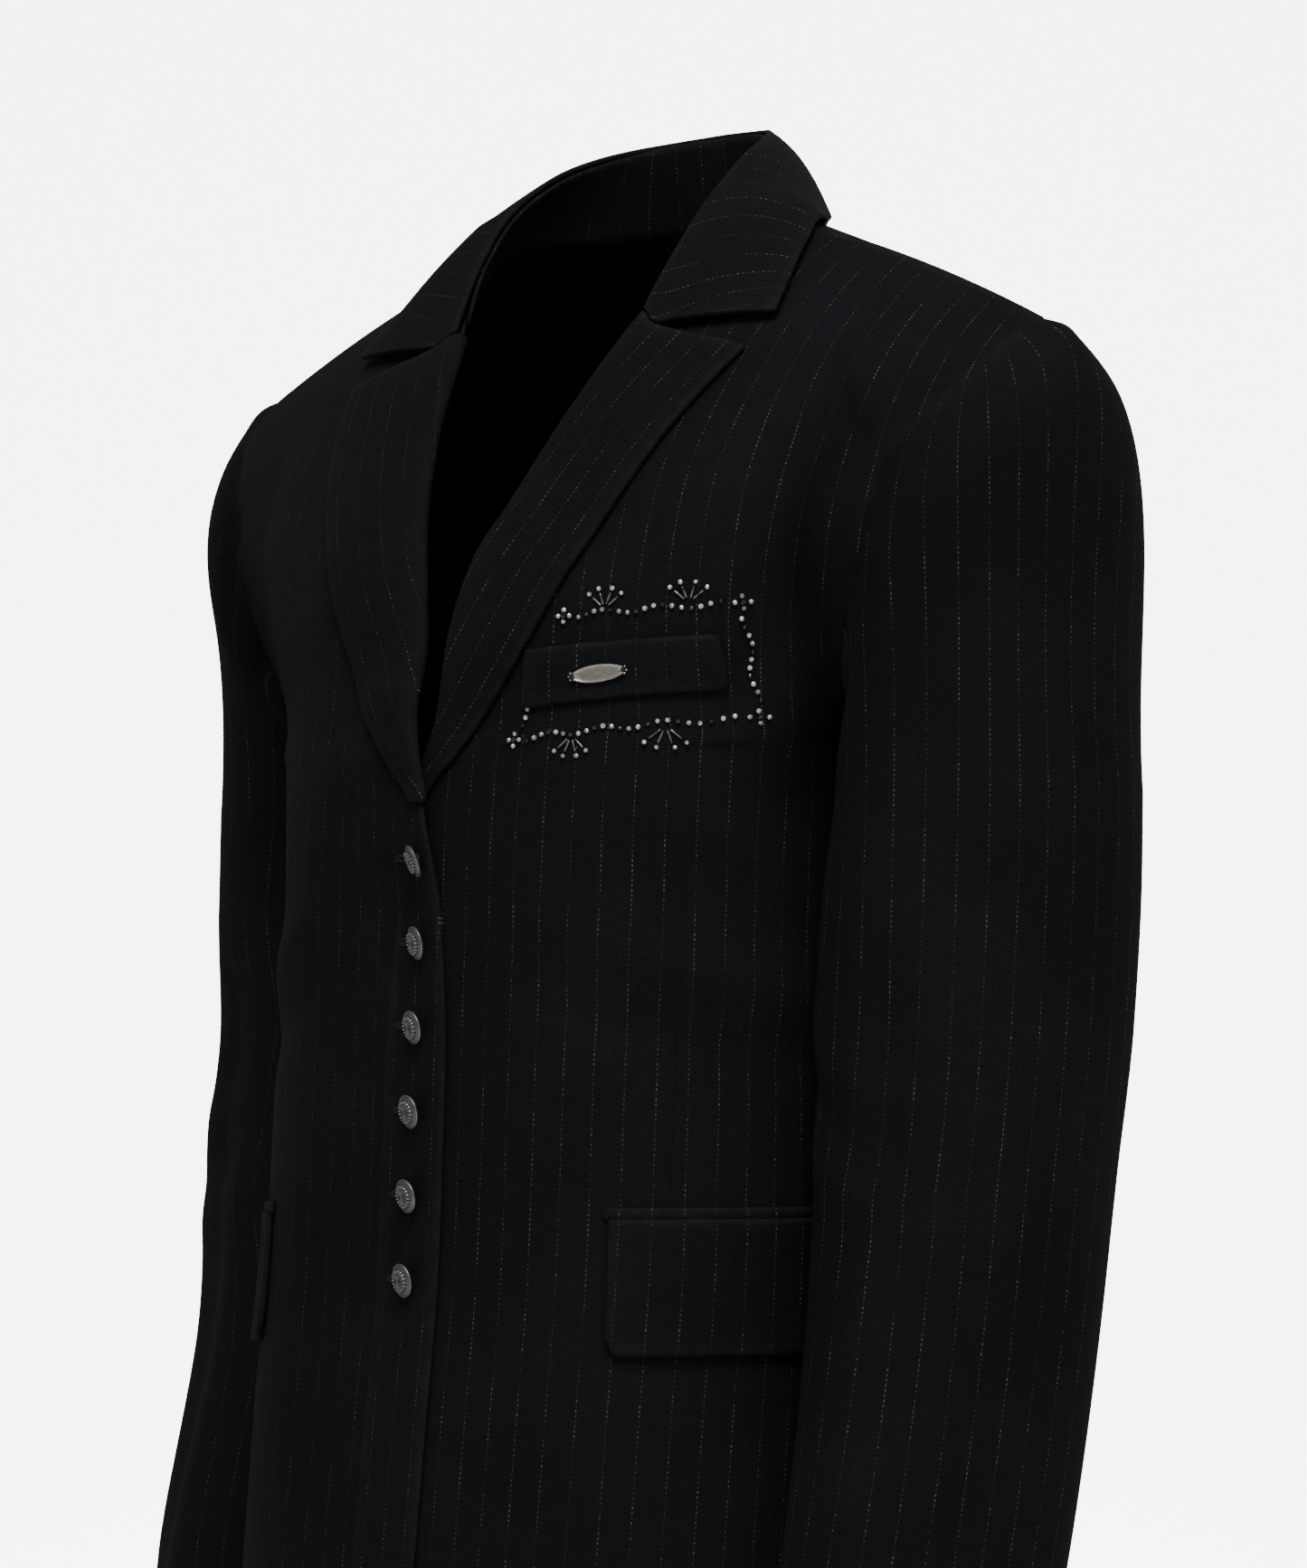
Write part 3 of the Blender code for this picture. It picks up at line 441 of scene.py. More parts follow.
# Sleeve: one path from the armhole down for each place round it
def armhole_loop(turn):
    """Places round the armhole: 0 at the shoulder tip, a half turn at the underarm, front first."""
    turn = np.mod(np.asarray(turn, float), 2 * math.pi)
    front = armhole_front_at(1 - np.clip(turn / math.pi, 0, 1))
    back = armhole_back_at(np.clip(turn / math.pi - 1, 0, 1))
    return np.where((turn <= math.pi)[..., None], front, back)


def torso_half_width(y, z):
    width, depth, square_f, square_b = np.moveaxis(torso_at(np.minimum(z, UNDERARM_Z)), -1, 0)
    front = -front_edge_at(np.minimum(z, UNDERARM_Z))[..., 1]
    deep = np.where(y < 0, front, depth)
    square = np.where(y < 0, square_f, square_b)
    t = np.clip(np.abs(y) / deep, 0, 0.999)
    return width * (1 - t**square) ** (1 / square)


def sleeve_ring(axis_at, turn, z):
    cx, cy, half, deep = np.moveaxis(axis_at(-z), -1, 0)
    out = np.cos(turn)
    fore = np.sin(turn)
    out = np.sign(out) * np.abs(out) ** 0.92
    fore = np.sign(fore) * np.abs(fore) ** 0.92
    c = math.cos(SLEEVE_TURN)
    s = math.sin(SLEEVE_TURN)
    x = cx + half * out * c - deep * fore * s
    y = cy - half * out * s - deep * fore * c
    return np.stack([x, y, z + 0 * x], -1)


def sleeve_fold(turn, z):
    """Folds of the sleeve: soft drags across the inner elbow and one long fold down the outside."""
    a = np.sin(turn)
    b = np.cos(turn)
    out = 0.0010 * bell(z + 0.352 + 0.030 * b, 0.010) * step_up(a, -0.2, 0.9)
    out -= 0.0012 * bell(z + 0.376 + 0.034 * b, 0.011) * step_up(a, -0.2, 0.9)
    out += 0.0010 * bell(z + 0.402 + 0.026 * b, 0.011) * step_up(a, 0.0, 0.9)
    fold_turn = 0.55 + 1.2 * (z + 0.40)
    down = window(-z, 0.27, 0.36, 0.56, 0.61)
    out += 0.0030 * bell(turn - fold_turn, 0.16) * down
    out -= 0.0028 * bell(turn - fold_turn - 0.42, 0.18) * down
    return out


CAP_Z = -0.245


def sleeve_mid(axis_at, turn, q):
    """q from 0 at the armhole to 1 at the cap's end, then on to 2 at the cuff."""
    turn = np.asarray(turn, float)
    wrapped = np.mod(turn, 2 * math.pi)
    q = np.asarray(q, float) + 0 * turn
    low = (1 - np.cos(wrapped)) / 2
    start = armhole_loop(turn).copy()
    start[..., 0] += 0.0004 + 0.0004 * low**3
    ring = sleeve_ring(axis_at, turn, np.full_like(turn, CAP_Z))
    centre = axis_at(-CAP_Z)[:2]
    flat = ring[..., :2] - centre
    flat /= np.linalg.norm(flat, axis=-1, keepdims=True)
    high = 1 - low
    drop = np.linalg.norm(ring - start, axis=-1)
    behind = np.clip(-np.sin(wrapped), 0, 1)
    signed = np.where(wrapped > math.pi, wrapped - 2 * math.pi, wrapped)
    leave = np.zeros_like(start)
    aside = np.sin(wrapped) ** 2
    leave[..., 0] = -0.043 * bell(signed - 0.4, 0.6) + 0.158 * high**1.3 + 0.020 * aside
    leave[..., 1] = flat[..., 1] * 0.035 * aside - 0.020 * behind * high
    leave[..., 2] = -0.016 * high**2 - 0.85 * drop * low**0.8
    arrive = np.zeros_like(start)
    arrive[..., 0] = 0.030 * high**2
    arrive[..., 2] = -drop * (0.55 + 1.5 * high)
    t = np.clip(q, 0, 1)[..., None]
    cap = between(t, start, leave, ring, arrive)
    z = CAP_Z + (CUFF_Z - CAP_Z) * np.clip(q - 1, 0, 1)
    tube = sleeve_ring(axis_at, turn, z)
    p = np.where((q <= 1)[..., None], cap, tube)
    pinch = 0.005 * bell(p[..., 2] + 0.240, 0.045) * bell(signed - 1.94, 0.55)
    lift = sleeve_fold(signed, p[..., 2]) * np.where(q > 1, 1, 0) - pinch * step_up(q, 0.1, 0.6)
    p[..., :2] += flat * lift[..., None]
    clear = 0.0038 + 0.0060 * step_up(-p[..., 2], 0.37, 0.41)
    inner = torso_half_width(p[..., 1], p[..., 2]) + clear
    below = step_up(-p[..., 2], 0.185, 0.225)
    inner = inner - 0.030 * (1 - below)
    gap = p[..., 0] - inner
    p[..., 0] = inner + 0.5 * (gap + np.sqrt(gap**2 + 0.004**2 * below))
    return p


GORGE_Z = -0.046
GORGE_H = float(np.interp(GORGE_Z, rise_z, rise_run))
LAPEL_START_Z = -0.248


def lapel_width(h):
    """Run from the roll line to the lapel's outer edge on one row."""
    line = front_row(h)
    gone = run_along(line)
    over = line[:, 0] - lapel_edge_at(line[:, 2])
    k = int(np.argmax(over > 0))
    t = over[k - 1] / (over[k - 1] - over[k]) if k else 0
    return max(float(gone[k - 1] + t * (gone[k] - gone[k - 1])) if k else 0.0, 0.006)


def lapel_drop(share):
    """How far the lapel's top edge dips at the notch, by share of its width."""
    return 0.0042 * step_up(share, 0.0, 0.15) * (1 - 0.9 * step_up(share, 0.25, 1.0))


class Ground:
    """A front's surface sampled once, so that many places on it can be read quickly."""

    def __init__(self, over):
        self.low = -0.06
        self.high = RISE
        self.rows = 300
        self.near = -0.008
        self.far = 0.172
        self.columns = 150
        hs = np.linspace(self.low, self.high, self.rows)
        runs = np.linspace(self.near, self.far, self.columns)
        frames = [front_frame(over, h, runs) for h in hs]
        self.points = np.array([f[0] for f in frames])
        self.normals = np.array([f[1] for f in frames])

    def at(self, h, run):
        h, run = np.broadcast_arrays(np.asarray(h, float), np.asarray(run, float))
        a = np.clip((h - self.low) / (self.high - self.low), 0, 0.999999) * (self.rows - 1)
        b = np.clip((run - self.near) / (self.far - self.near), 0, 0.999999) * (self.columns - 1)
        i, j = a.astype(int), b.astype(int)
        a, b = (a - i)[..., None], (b - j)[..., None]

        def blend(g):
            low = g[i, j] * (1 - b) + g[i, j + 1] * b
            return low * (1 - a) + (g[i + 1, j] * (1 - b) + g[i + 1, j + 1] * b) * a

        n = blend(self.normals)
        return blend(self.points), n / np.linalg.norm(n, axis=-1, keepdims=True)


GROUND = {False: Ground(False), True: Ground(True)}


def lapel_grid(over, hs, spans):
    """Outer and inner faces of a lapel: a lip round the front's edge, then the turned-out face."""
    outer = []
    inner = []
    ground = GROUND[over]
    for h in hs:
        width = lapel_width(h) * (0.55 + 0.45 * step_up(h, hs[0], hs[0] + 0.020))
        grow = step_up(h, hs[0], hs[0] + 0.05)
        near_top = step_up(h, hs[-1] - 0.05, hs[-1])
        faces = [
            (-LAPEL_LIP, 0.0016, -0.0022, -0.0009),
            (-0.0028, 0.0031 + 0.0006 * grow, -0.0005, -0.0010),
            (-0.0005, 0.0040 + 0.0010 * grow, -0.0005, 0.0015),
            (0.0030, 0.0042 + 0.0014 * grow, 0.0030, 0.0019),
        ]
        for s in spans:
            run = 0.0030 + (width - 0.0030) * s
            top = 0.0042 + 0.0014 * grow * (1 - s) + 0.0002 * grow
            faces.append((run, top, run, 0.0018 + 0.0006 * grow * (1 - s)))
        faces = np.array(faces)
        hh = h - lapel_drop(np.maximum(faces[:, 0], 0) / width) * near_top
        p, n = ground.at(hh, faces[:, 0])
        outer.append(p + n * faces[:, 1:2])
        p, n = ground.at(hh, faces[:, 2])
        inner.append(p + n * faces[:, 3:4])
    return np.array(outer), np.array(inner)


def collar_rows():
    """Fold and fall edge of the collar on one side, front end first."""
    table = np.array(COLLAR)
    run = run_along(table[:, :3])
    return smooth(run / run[-1], table)


collar_at = collar_rows()


def collar_section(t):
    """Key points of one collar section: the fold, the fall's crown and its edge."""
    x, y, z, ex, ey = collar_at(t)
    edge, up = on_shoulder(ex, ey)
    edge = edge + up * (0.0042 + 0.0010 * (1 - t))
    fold = np.array([x, y, z])
    rise = 0.0060 + 0.0050 * step_up(t, 0.0, 0.3)
    return fold, 0.5 * (fold + edge) + up * rise * 0.9, edge


def bent(start, pull, end, count):
    """A curve from one place to another, pulled toward a third."""
    s = np.linspace(0, 1, count)[:, None]
    return (1 - s) ** 2 * start + 2 * s * (1 - s) * pull + s * s * end


def collar_path(t, count):
    """Middle line of the fall from the fold to the edge."""
    return bent(*collar_section(t), count)


NOTCH_RUN = 0.0125


@lru_cache(maxsize=8)
def gorge_line(count):
    """Front end of the collar: along the top of the lapel to the notch, then out to the corner."""
    edge = collar_section(0.0)[2]
    line = []
    for s in np.linspace(0, 1, count):
        if s < 0.3:
            share = s / 0.3
            drop = 0.0042 * step_up(share, 0, 0.8)
            p, n = front_frame(False, GORGE_H + 0.0012 - drop, [NOTCH_RUN * share])
            line.append(p[0] + n[0] * 0.0046)
        else:
            share = (s - 0.3) / 0.7
            p, n = front_frame(False, GORGE_H + 0.0012 - 0.0042, [NOTCH_RUN])
            notch = p[0] + n[0] * 0.0046
            line.append(notch + (edge - notch) * share + n[0] * 0.0012 * math.sin(math.pi * share))
    return np.array(line)


def both_sides(rows):
    """Rows from one front end to the centre back, carried on to the other front end."""
    rows = np.array(rows)
    return np.concatenate([rows, rows[::-1][1:] * np.array([-1, 1, 1])])


def collar_fall_grid(stations, count):
    rows = []
    for t in np.linspace(0, 1, stations):
        path = collar_path(t, count)
        blend = step_up(t, 0.0, 0.22)
        if blend < 1:
            path = gorge_line(count) * (1 - blend) + path * blend
        rows.append(path)
    return both_sides(rows)


def grid_normals(grid, away):
    a = np.gradient(grid, axis=0)
    b = np.gradient(grid, axis=1)
    n = np.cross(a, b)
    n /= np.linalg.norm(n, axis=-1, keepdims=True) + 1e-12
    side = np.sign(((grid - away) * n).sum(-1, keepdims=True))
    return n * np.where(side == 0, 1, side)


COLLAR_CENTRE = np.array([0.0, 0.0, -0.09])


def stand_grid(stations, count):
    """The stand rises from the neck seam and leans in to meet the fold from inside."""
    rows = []
    for t in np.linspace(0.20, 1, stations):
        fold = collar_at(t)[:3]
        path = collar_path(t, 7)
        fall_way = path[1] - path[0]
        n = np.cross(collar_at(min(t + 0.02, 1))[:3] - collar_at(max(t - 0.02, 0))[:3], fall_way)
        n /= np.linalg.norm(n)
        if np.dot(n, fold - COLLAR_CENTRE) < 0:
            n = -n
        top = fold - n * 0.0026
        neck = neck_seam(t)
        lean = top * 0.35 + neck * 0.65
        lean[2] = 0.5 * (top[2] + neck[2])
        rows.append(bent(neck, lean, top, count))
    return both_sides(rows)


NECK_PATH = by_length(
    (
        (0.0535, -0.0480, -0.0330),
        (0.0610, -0.0330, -0.0200),
        (0.0680, -0.0100, -0.0010),
        (0.0680, 0.0080, 0.0070),
        (0.0600, 0.0260, 0.0110),
        (0.0440, 0.0420, 0.0140),
        (0.0220, 0.0540, 0.0160),
        (0.0000, 0.0580, 0.0170),
    )
)


def neck_seam(t):
    return NECK_PATH((t - 0.20) / 0.80)


UNDER_LO = math.radians(118)
UNDER_HI = math.radians(238)


def run_at_place(x, z):
    """Height and run on a front for a place seen from in front."""

    def below(h):
        line = front_row(h)
        return along(line, [row_run_at_x(line, x)])[0][2] < z

    h = z - UNDERARM_Z if z <= UNDERARM_Z else halve(-0.05, RISE, below)
    return h, row_run_at_x(front_row(h), x)


# Chest welt as seen from in front: x, z
WELT = ((0.0500, -0.2110), (0.1250, -0.2045), (0.1245, -0.1835), (0.0500, -0.1880))

FLAP_START = 0.116
FLAP_WIDTH = 0.128
FLAP_TOP_Z = -0.4175
FLAP_LOW_Z = -0.4705
JET_LOW_Z = FLAP_TOP_Z + 0.0003
JET_TOP_Z = FLAP_TOP_Z + 0.0046

# Oval plate on the welt: middle x and z, half length, half height, tilt, height of its back off the cloth
PLATE_X = 0.0825
PLATE_Z = -0.1985
PLATE_LONG = 0.0115
PLATE_TALL = 0.0036
PLATE_TILT = math.radians(6)
PLATE_OFF = 0.0042


def right_front_at(x, z):
    """Point and normal on the outside of the right front, which lies over the left one."""
    h, run = run_at_place(-x, z)
    p, n = front_frame(True, h, [run])
    p = p[0] * np.array([-1, 1, 1])
    n = n[0] * np.array([-1, 1, 1])
    return p + n * CLOTH / 2, n


# Where a button can touch the cloth: radius, height over its base
RESTS = ((0.0030, 0.0), (BUTTON_R, 0.0020))
# How far each button turns toward the wearer's right on its shank, from the top down
BUTTON_TURN = tuple(math.radians(a) for a in (29, 19, 13, 10, 9, 9))

# Looks
STRIPE_PITCH = 0.0127
DOT_PITCH = 0.0020
TWILL_PITCH = 0.0011


class Nodes:
    """Small helper that adds shader nodes and links them by value or socket."""

    def __init__(self, name):
        self.material = bpy.data.materials.new(name)
        self.material.use_nodes = True
        self.tree = self.material.node_tree
        self.shader = self.tree.nodes["Principled BSDF"]

    def add(self, kind, inputs=(), **settings):
        node = self.tree.nodes.new(kind)
        for key, value in settings.items():
            setattr(node, key, value)
        for key, value in dict(inputs).items():
            self.feed(node.inputs[key], value)
        return node

    def feed(self, socket, value):
        if isinstance(value, bpy.types.NodeSocket):
            self.tree.links.new(value, socket)
        else:
            socket.default_value = value

    def math(self, operation, a, b=0.0):
        return self.add("ShaderNodeMath", {0: a, 1: b}, operation=operation).outputs[0]

    def plus(self, *values):
        return reduce(lambda a, b: self.math("ADD", a, b), values)

    def times(self, *values):
        return reduce(lambda a, b: self.math("MULTIPLY", a, b), values)

    def repeats(self, value, pitch, shift):
        """Distance from the middle of each repeat, as a share of the pitch, and the repeat's number."""
        turns = self.plus(self.math("DIVIDE", value, pitch), shift)
        away = self.math("ABSOLUTE", self.math("SUBTRACT", self.math("FRACT", turns), 0.5))
        return away, self.math("FLOOR", turns)

    def ramp(self, value, lo, hi, to_lo=0.0, to_hi=1.0):
        values = {"Value": value, "From Min": lo, "From Max": hi, "To Min": to_lo, "To Max": to_hi}
        return self.add("ShaderNodeMapRange", values, interpolation_type="SMOOTHSTEP").outputs["Result"]

    def mix(self, factor, a, b):
        node = self.add("ShaderNodeMix", data_type="RGBA")
        for key, value in (("Factor", factor), ("A", a), ("B", b)):
            self.feed(node.inputs[key], value)
        return node.outputs["Result"]

    def scaled(self, colour, factor):
        return self.add("ShaderNodeVectorMath", {0: colour, "Scale": factor}, operation="SCALE").outputs[0]

    def place(self):
        return self.add("ShaderNodeTexCoord").outputs["Object"]

    def attribute(self, name):
        return self.add("ShaderNodeAttribute", attribute_name=name).outputs["Fac"]

    def noise(self, vector, scale, detail=3.0, rough=0.55):
        values = {"Vector": vector, "Scale": scale, "Detail": detail, "Roughness": rough}
        return self.add("ShaderNodeTexNoise", values).outputs["Fac"]

    def bump(self, height, strength, distance):
        values = {"Strength": strength, "Distance": distance, "Height": height}
        return self.add("ShaderNodeBump", values).outputs[0]

    def set(self, **values):
        for key, value in values.items():
            self.feed(self.shader.inputs[key.replace("_", " ")], value)


def wool(name):
    """Black wool suiting: twill weave and nap, with a thin pinstripe of pale dots running up the cloth."""
    n = Nodes(name)
    uv = n.add("ShaderNodeUVMap", uv_map="cloth").outputs[0]
    parts = n.add("ShaderNodeSeparateXYZ", {0: uv}).outputs
    across, up = parts[0], parts[1]
    place = n.place()
    nap = n.noise(place, 900.0, 4.0, 0.7)
    cloudy = n.ramp(n.noise(place, 9.0), 0.30, 0.72, 0.80, 1.18)
    base = n.scaled((0.0088, 0.0094, 0.0112), n.times(cloudy, n.ramp(nap, 0.32, 0.68, 0.72, 1.30)))
    hair = n.ramp(n.noise(place, 2600.0, 2.0, 0.6), 0.66, 0.74, 0.0, 0.35)
    base = n.mix(hair, base, (0.030, 0.031, 0.034, 1))
    stripe_away, stripe = n.repeats(across, STRIPE_PITCH, 40.5)
    dot_away, dot = n.repeats(up, DOT_PITCH, 900.0)
    cell = n.add("ShaderNodeCombineXYZ", {0: stripe, 1: dot}).outputs[0]
    own = n.ramp(n.add("ShaderNodeTexWhiteNoise", {"Vector": cell}).outputs["Value"], 0.1, 1.0, 0.22, 1.0)
    patchy = n.ramp(n.noise(place, 60.0), 0.40, 0.64, 0.22, 1.0)
    sideways = n.add("ShaderNodeSeparateXYZ", {0: place}).outputs[0]
    line = n.ramp(stripe_away, 0.012, 0.022, 1.0, 0.0)
    dots = n.ramp(dot_away, 0.14, 0.28, 1.0, 0.03)
    # The stripes are painted fainter toward the wearer's right, as painted shade on the side that turns from
    # the light
    mark = n.times(line, dots, n.times(patchy, own), n.ramp(sideways, -0.05, 0.02, 0.6, 1.0))
    base = n.mix(mark, base, (0.16, 0.16, 0.155, 1))
    # Painted shade: the colour goes near black in the chest folds and beside the sleeve seams, where shadow
    # falls
    base = n.mix(n.times(n.attribute("painted_shade"), 0.74), base, (0.0008, 0.0008, 0.0010, 1))
    # Lighter near the cloth's edges: part wear, part painted sheen of pressed edges
    edge = n.attribute("edge")
    wear_and_sheen = n.times(edge, n.ramp(n.noise(place, 150.0), 0.35, 0.65, 0.2, 1.0))
    base = n.mix(n.times(wear_and_sheen, 0.30), base, (0.030, 0.030, 0.032, 1))
    rough = n.math("SUBTRACT", n.ramp(nap, 0.3, 0.7, 0.80, 0.95), n.times(edge, 0.12))
    n.set(Base_Color=base, Roughness=rough, Specular_IOR_Level=0.10,
          Sheen_Weight=0.012, Sheen_Roughness=0.5, Sheen_Tint=(0.72, 0.74, 0.80, 1))
    twill = n.math("SINE", n.times(n.plus(across, n.times(up, 0.6)), 2 * math.pi / TWILL_PITCH))
    height = n.plus(n.times(twill, 0.25), nap, n.times(n.noise(place, 45.0), 2.2))
    n.set(Normal=n.bump(height, 0.35, 0.0006))
    return n.material


def aged_metal(name, colour, low, rough=0.30):
    """Silver with dark in its recesses, from the relief kept in each point's recess value."""
    n = Nodes(name)
    place = n.place()
    recess = n.attribute("recess")
    stain = n.noise(place, 420.0, 4.0, 0.6)
    dirt = n.math("MAXIMUM", recess, n.ramp(stain, 0.55, 0.80, 0.0, 0.55))
    dull = n.plus(n.ramp(stain, 0.3, 0.7, rough - 0.06, rough + 0.10), n.times(recess, 0.3))
    n.set(Base_Color=n.mix(dirt, colour, low), Metallic=1.0, Roughness=dull,
          Normal=n.bump(n.noise(place, 1500.0), 0.18, 0.0002))
    return n.material


def bead_glass(name, colour, rough, metal):
    n = Nodes(name)
    tone = n.ramp(n.noise(n.place(), 420.0, 1.0), 0.38, 0.62, 0.40, 1.15)
    n.set(Base_Color=n.scaled(colour, tone), Roughness=rough, Metallic=metal,
          Coat_Weight=0.5, Coat_Roughness=0.08)
    return n.material


def thread_look(name):
    n = Nodes(name)
    twist = n.noise(n.place(), 2200.0, 2.0)
    shade = n.scaled((0.011, 0.011, 0.012), n.ramp(twist, 0.3, 0.7, 0.6, 1.6))
    n.set(Base_Color=shade, Roughness=0.6, Specular_IOR_Level=0.3, Normal=n.bump(twist, 0.4, 0.0002))
    return n.material


# Meshes
def point_values(mesh, name, values):
    mesh.attributes.new(name, "FLOAT", "POINT").data.foreach_set("value", np.asarray(values, float))


def mesh_object(name, points, faces, look, uv=None, recess=None, smooth=True):
    mesh = bpy.data.meshes.new(name)
    mesh.from_pydata(np.asarray(points).tolist(), [], faces)
    mesh.materials.append(look)
    if uv is not None:
        layer = mesh.uv_layers.new(name="cloth")
        index = np.empty(len(mesh.loops), np.int32)
        mesh.loops.foreach_get("vertex_index", index)
        layer.data.foreach_set("uv", np.asarray(uv, float)[index].ravel())
    if recess is not None:
        point_values(mesh, "recess", recess)
    if smooth:
        mesh.shade_smooth()
    ob = bpy.data.objects.new(name, mesh)
    bpy.context.scene.collection.objects.link(ob)
    return ob


def turned_out(points, faces):
    """Faces as given, or all reversed where they would close inside out."""
    p = np.asarray(points)
    f = np.array([q[:3] for q in faces] + [(q[0], q[2], q[3]) for q in faces if len(q) == 4])
    volume = (p[f[:, 0]] * np.cross(p[f[:, 1]], p[f[:, 2]])).sum()
    return faces if volume > 0 else [tuple(reversed(q)) for q in faces]


def run_across(grid):
    """Distance along each row of a grid."""
    steps = np.linalg.norm(np.diff(grid, axis=1), axis=-1)
    return np.concatenate([np.zeros((len(grid), 1)), np.cumsum(steps, 1)], 1)


# How far from a cloth's edge its wear and painted sheen fade, and how far its edge bulges out as a share of
# its thickness
WEAR_AND_SHEEN_REACH = 0.0022
RIM_BULGE = 0.32


def cloth(name, mid, normal, thick, uv, look, nodes, side=1, painted_shade=None):
    """A sheet of cloth as a closed wall with rounded edges, made from its middle grid."""
    rows, cols = mid.shape[:2]
    half = thick / 2 if np.isscalar(thick) else thick[..., None] / 2
    outer = mid + normal * half
    inner = mid - normal * half
    loop = ([(0, j) for j in range(cols)] + [(i, cols - 1) for i in range(1, rows)]
            + [(rows - 1, j) for j in range(cols - 2, -1, -1)] + [(i, 0) for i in range(rows - 2, 0, -1)])
    rim = []
    for i, j in loop:
        way = mid[i, j] - mid[min(max(i, 1), rows - 2), min(max(j, 1), cols - 2)]
        way = way / (np.linalg.norm(way) + 1e-12)
        rim.append(mid[i, j] + way * np.linalg.norm(outer[i, j] - inner[i, j]) * RIM_BULGE)
    count = rows * cols
    points = np.concatenate([outer.reshape(-1, 3), inner.reshape(-1, 3), np.array(rim)])
    rim_uv = np.array([uv[i, j] for i, j in loop])
    all_uv = np.concatenate([uv.reshape(-1, 2), uv.reshape(-1, 2), rim_uv])
    ids = np.arange(count).reshape(rows, cols)
    quads = np.stack([ids[:-1, :-1], ids[:-1, 1:], ids[1:, 1:], ids[1:, :-1]], -1).reshape(-1, 4)
    faces = [tuple(q) for q in quads.tolist()]
    faces += [tuple(q) for q in (quads[:, ::-1] + count).tolist()]
    for k in range(len(loop)):
        m = (k + 1) % len(loop)
        a = int(ids[loop[k]])
        b = int(ids[loop[m]])
        faces.append((b, a, 2 * count + k, 2 * count + m))
        faces.append((2 * count + m, 2 * count + k, a + count, b + count))
    points[:, 0] *= side
    ob = mesh_object(name, points, turned_out(points, faces), look, all_uv)
    across = run_across(mid)
    down = run_across(mid.swapaxes(0, 1)).T
    rim_away = np.minimum(np.minimum(across, across[:, -1:] - across), np.minimum(down, down[-1:] - down))
    edge = np.exp(-rim_away / WEAR_AND_SHEEN_REACH).reshape(-1)
    point_values(ob.data, "edge", np.concatenate([edge, edge, np.ones(len(rim))]))
    # Painted shade for folds and seams in shadow, kept on each point and laid dark into the cloth's colour
    if painted_shade is not None:
        at_rim = [painted_shade[i, j] for i, j in loop]
        point_values(ob.data, "painted_shade", np.concatenate([painted_shade.reshape(-1), painted_shade.reshape(-1), at_rim]))
    crossed = np.cross(mid[1:, 1:] - mid[:-1, :-1], mid[1:, :-1] - mid[:-1, 1:])
    area = float(np.linalg.norm(crossed, axis=-1).sum() / 2)
    span = np.maximum(uv.reshape(-1, 2).max(0) - uv.reshape(-1, 2).min(0) + 0.001, 0.0101)
    area = min(area, float(span[0] * span[1]) * 0.995)
    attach(ob, "root")
    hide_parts(*nodes)
    return ob


# Cloth, once it is dressed, and the dart: x of its middle, depth of its seam
BODY_THICK = 0.0019
SLEEVE_THICK = 0.0018
DART_X = 0.1125
DART_DEEP = 0.0011
# Painted shade beside the sleeve's seam, laid dark into the cloth's colour, by side: strength, turns where
# it starts and is full, reach
SLEEVE_SHADE = {1: (0.8, 0.7, 1.3, 0.0040), -1: (0.9, 0.3, 0.6, 0.0200)}


def body_levels(below, above):
    """Heights of a body panel's rows, from just over the hem to just under the shoulder's end."""
    low = np.linspace(HEM_Z - UNDERARM_Z + 0.0008, 0, below)
    return np.concatenate([low, np.linspace(0, RISE - 0.0004, above)[1:]])


def row_middles(mid):
    """A place inside the body for each row of a panel."""
    return np.array([0.03, 0.0, 0.0]) + mid.mean(1, keepdims=True) * np.array([0, 0, 1])


def fine_front(over, side, name, node):
    """A front panel with its dart, folds and stripes that run down the grain, and painted shade in its chest
    fold or beside its armhole.
    """
    mid, uv, painted_shade = [], [], []
    up = 0.0
    for h in body_levels(96, 74):
        line = front_row(h)
        length = run_along(line)[-1]
        dart = row_run_at_x(line, DART_X)
        by_dart = dart + np.array([-0.002, -0.001, 0, 0.001, 0.002])
        past = np.linspace(dart + 0.004, length, 32)
        run = np.concatenate([np.linspace(0, dart - 0.004, 32), by_dart, past])
        row = front_mid(over, h, run)
        z = UNDERARM_Z + h
        row[:, 1] += DART_DEEP * window(z, -0.420, -0.405, -0.290, -0.262) * bell(run - dart, 0.0011)
        if mid:
            up += float(np.median(np.linalg.norm(row - mid[-1], axis=-1)[5:40]))
        mid.append(row)
        uv.append(np.stack([run + line[0][0], np.full_like(run, up)], -1))
        # Painted shade: on the right front a dark band along the armhole seam, on the left one dark in the
        # chest fold and a thin dark line higher up beside the armhole
        if over:
            strength = 0.9 * step_up(h, 0.02, 0.05) * (1 - step_up(z, -0.085, -0.065))
            dark = strength * bell(length - run, 0.0150)
        else:
            deep = -row[:, 2]
            shade = FOLD_SHADE(row[:, 2])
            fine_x = 0.146 + (deep - 0.058) * 0.65
            dark = shade[:, 1] * bell(row[:, 0] - shade[:, 0], 0.0105)
            dark = dark + 0.45 * window(deep, 0.058, 0.075, 0.095, 0.115) * bell(row[:, 0] - fine_x, 0.0040)
        painted_shade.append(np.clip(dark, 0, 1))
    mid, uv, painted_shade = np.array(mid), np.array(uv), np.array(painted_shade)
    soften = step_up(mid[..., 0], 0.126, 0.138) * window(mid[..., 2], -0.275, -0.245, -0.185, -0.160)
    soften[:, -2:] = 0
    for _ in range(30):
        mid[1:-1] += (0.25 * soften[1:-1])[..., None] * (mid[:-2] + mid[2:] - 2 * mid[1:-1])
    normal = grid_normals(mid, row_middles(mid))
    return cloth(name, mid, normal, BODY_THICK, uv, WOOL, [node],
                 side, painted_shade)


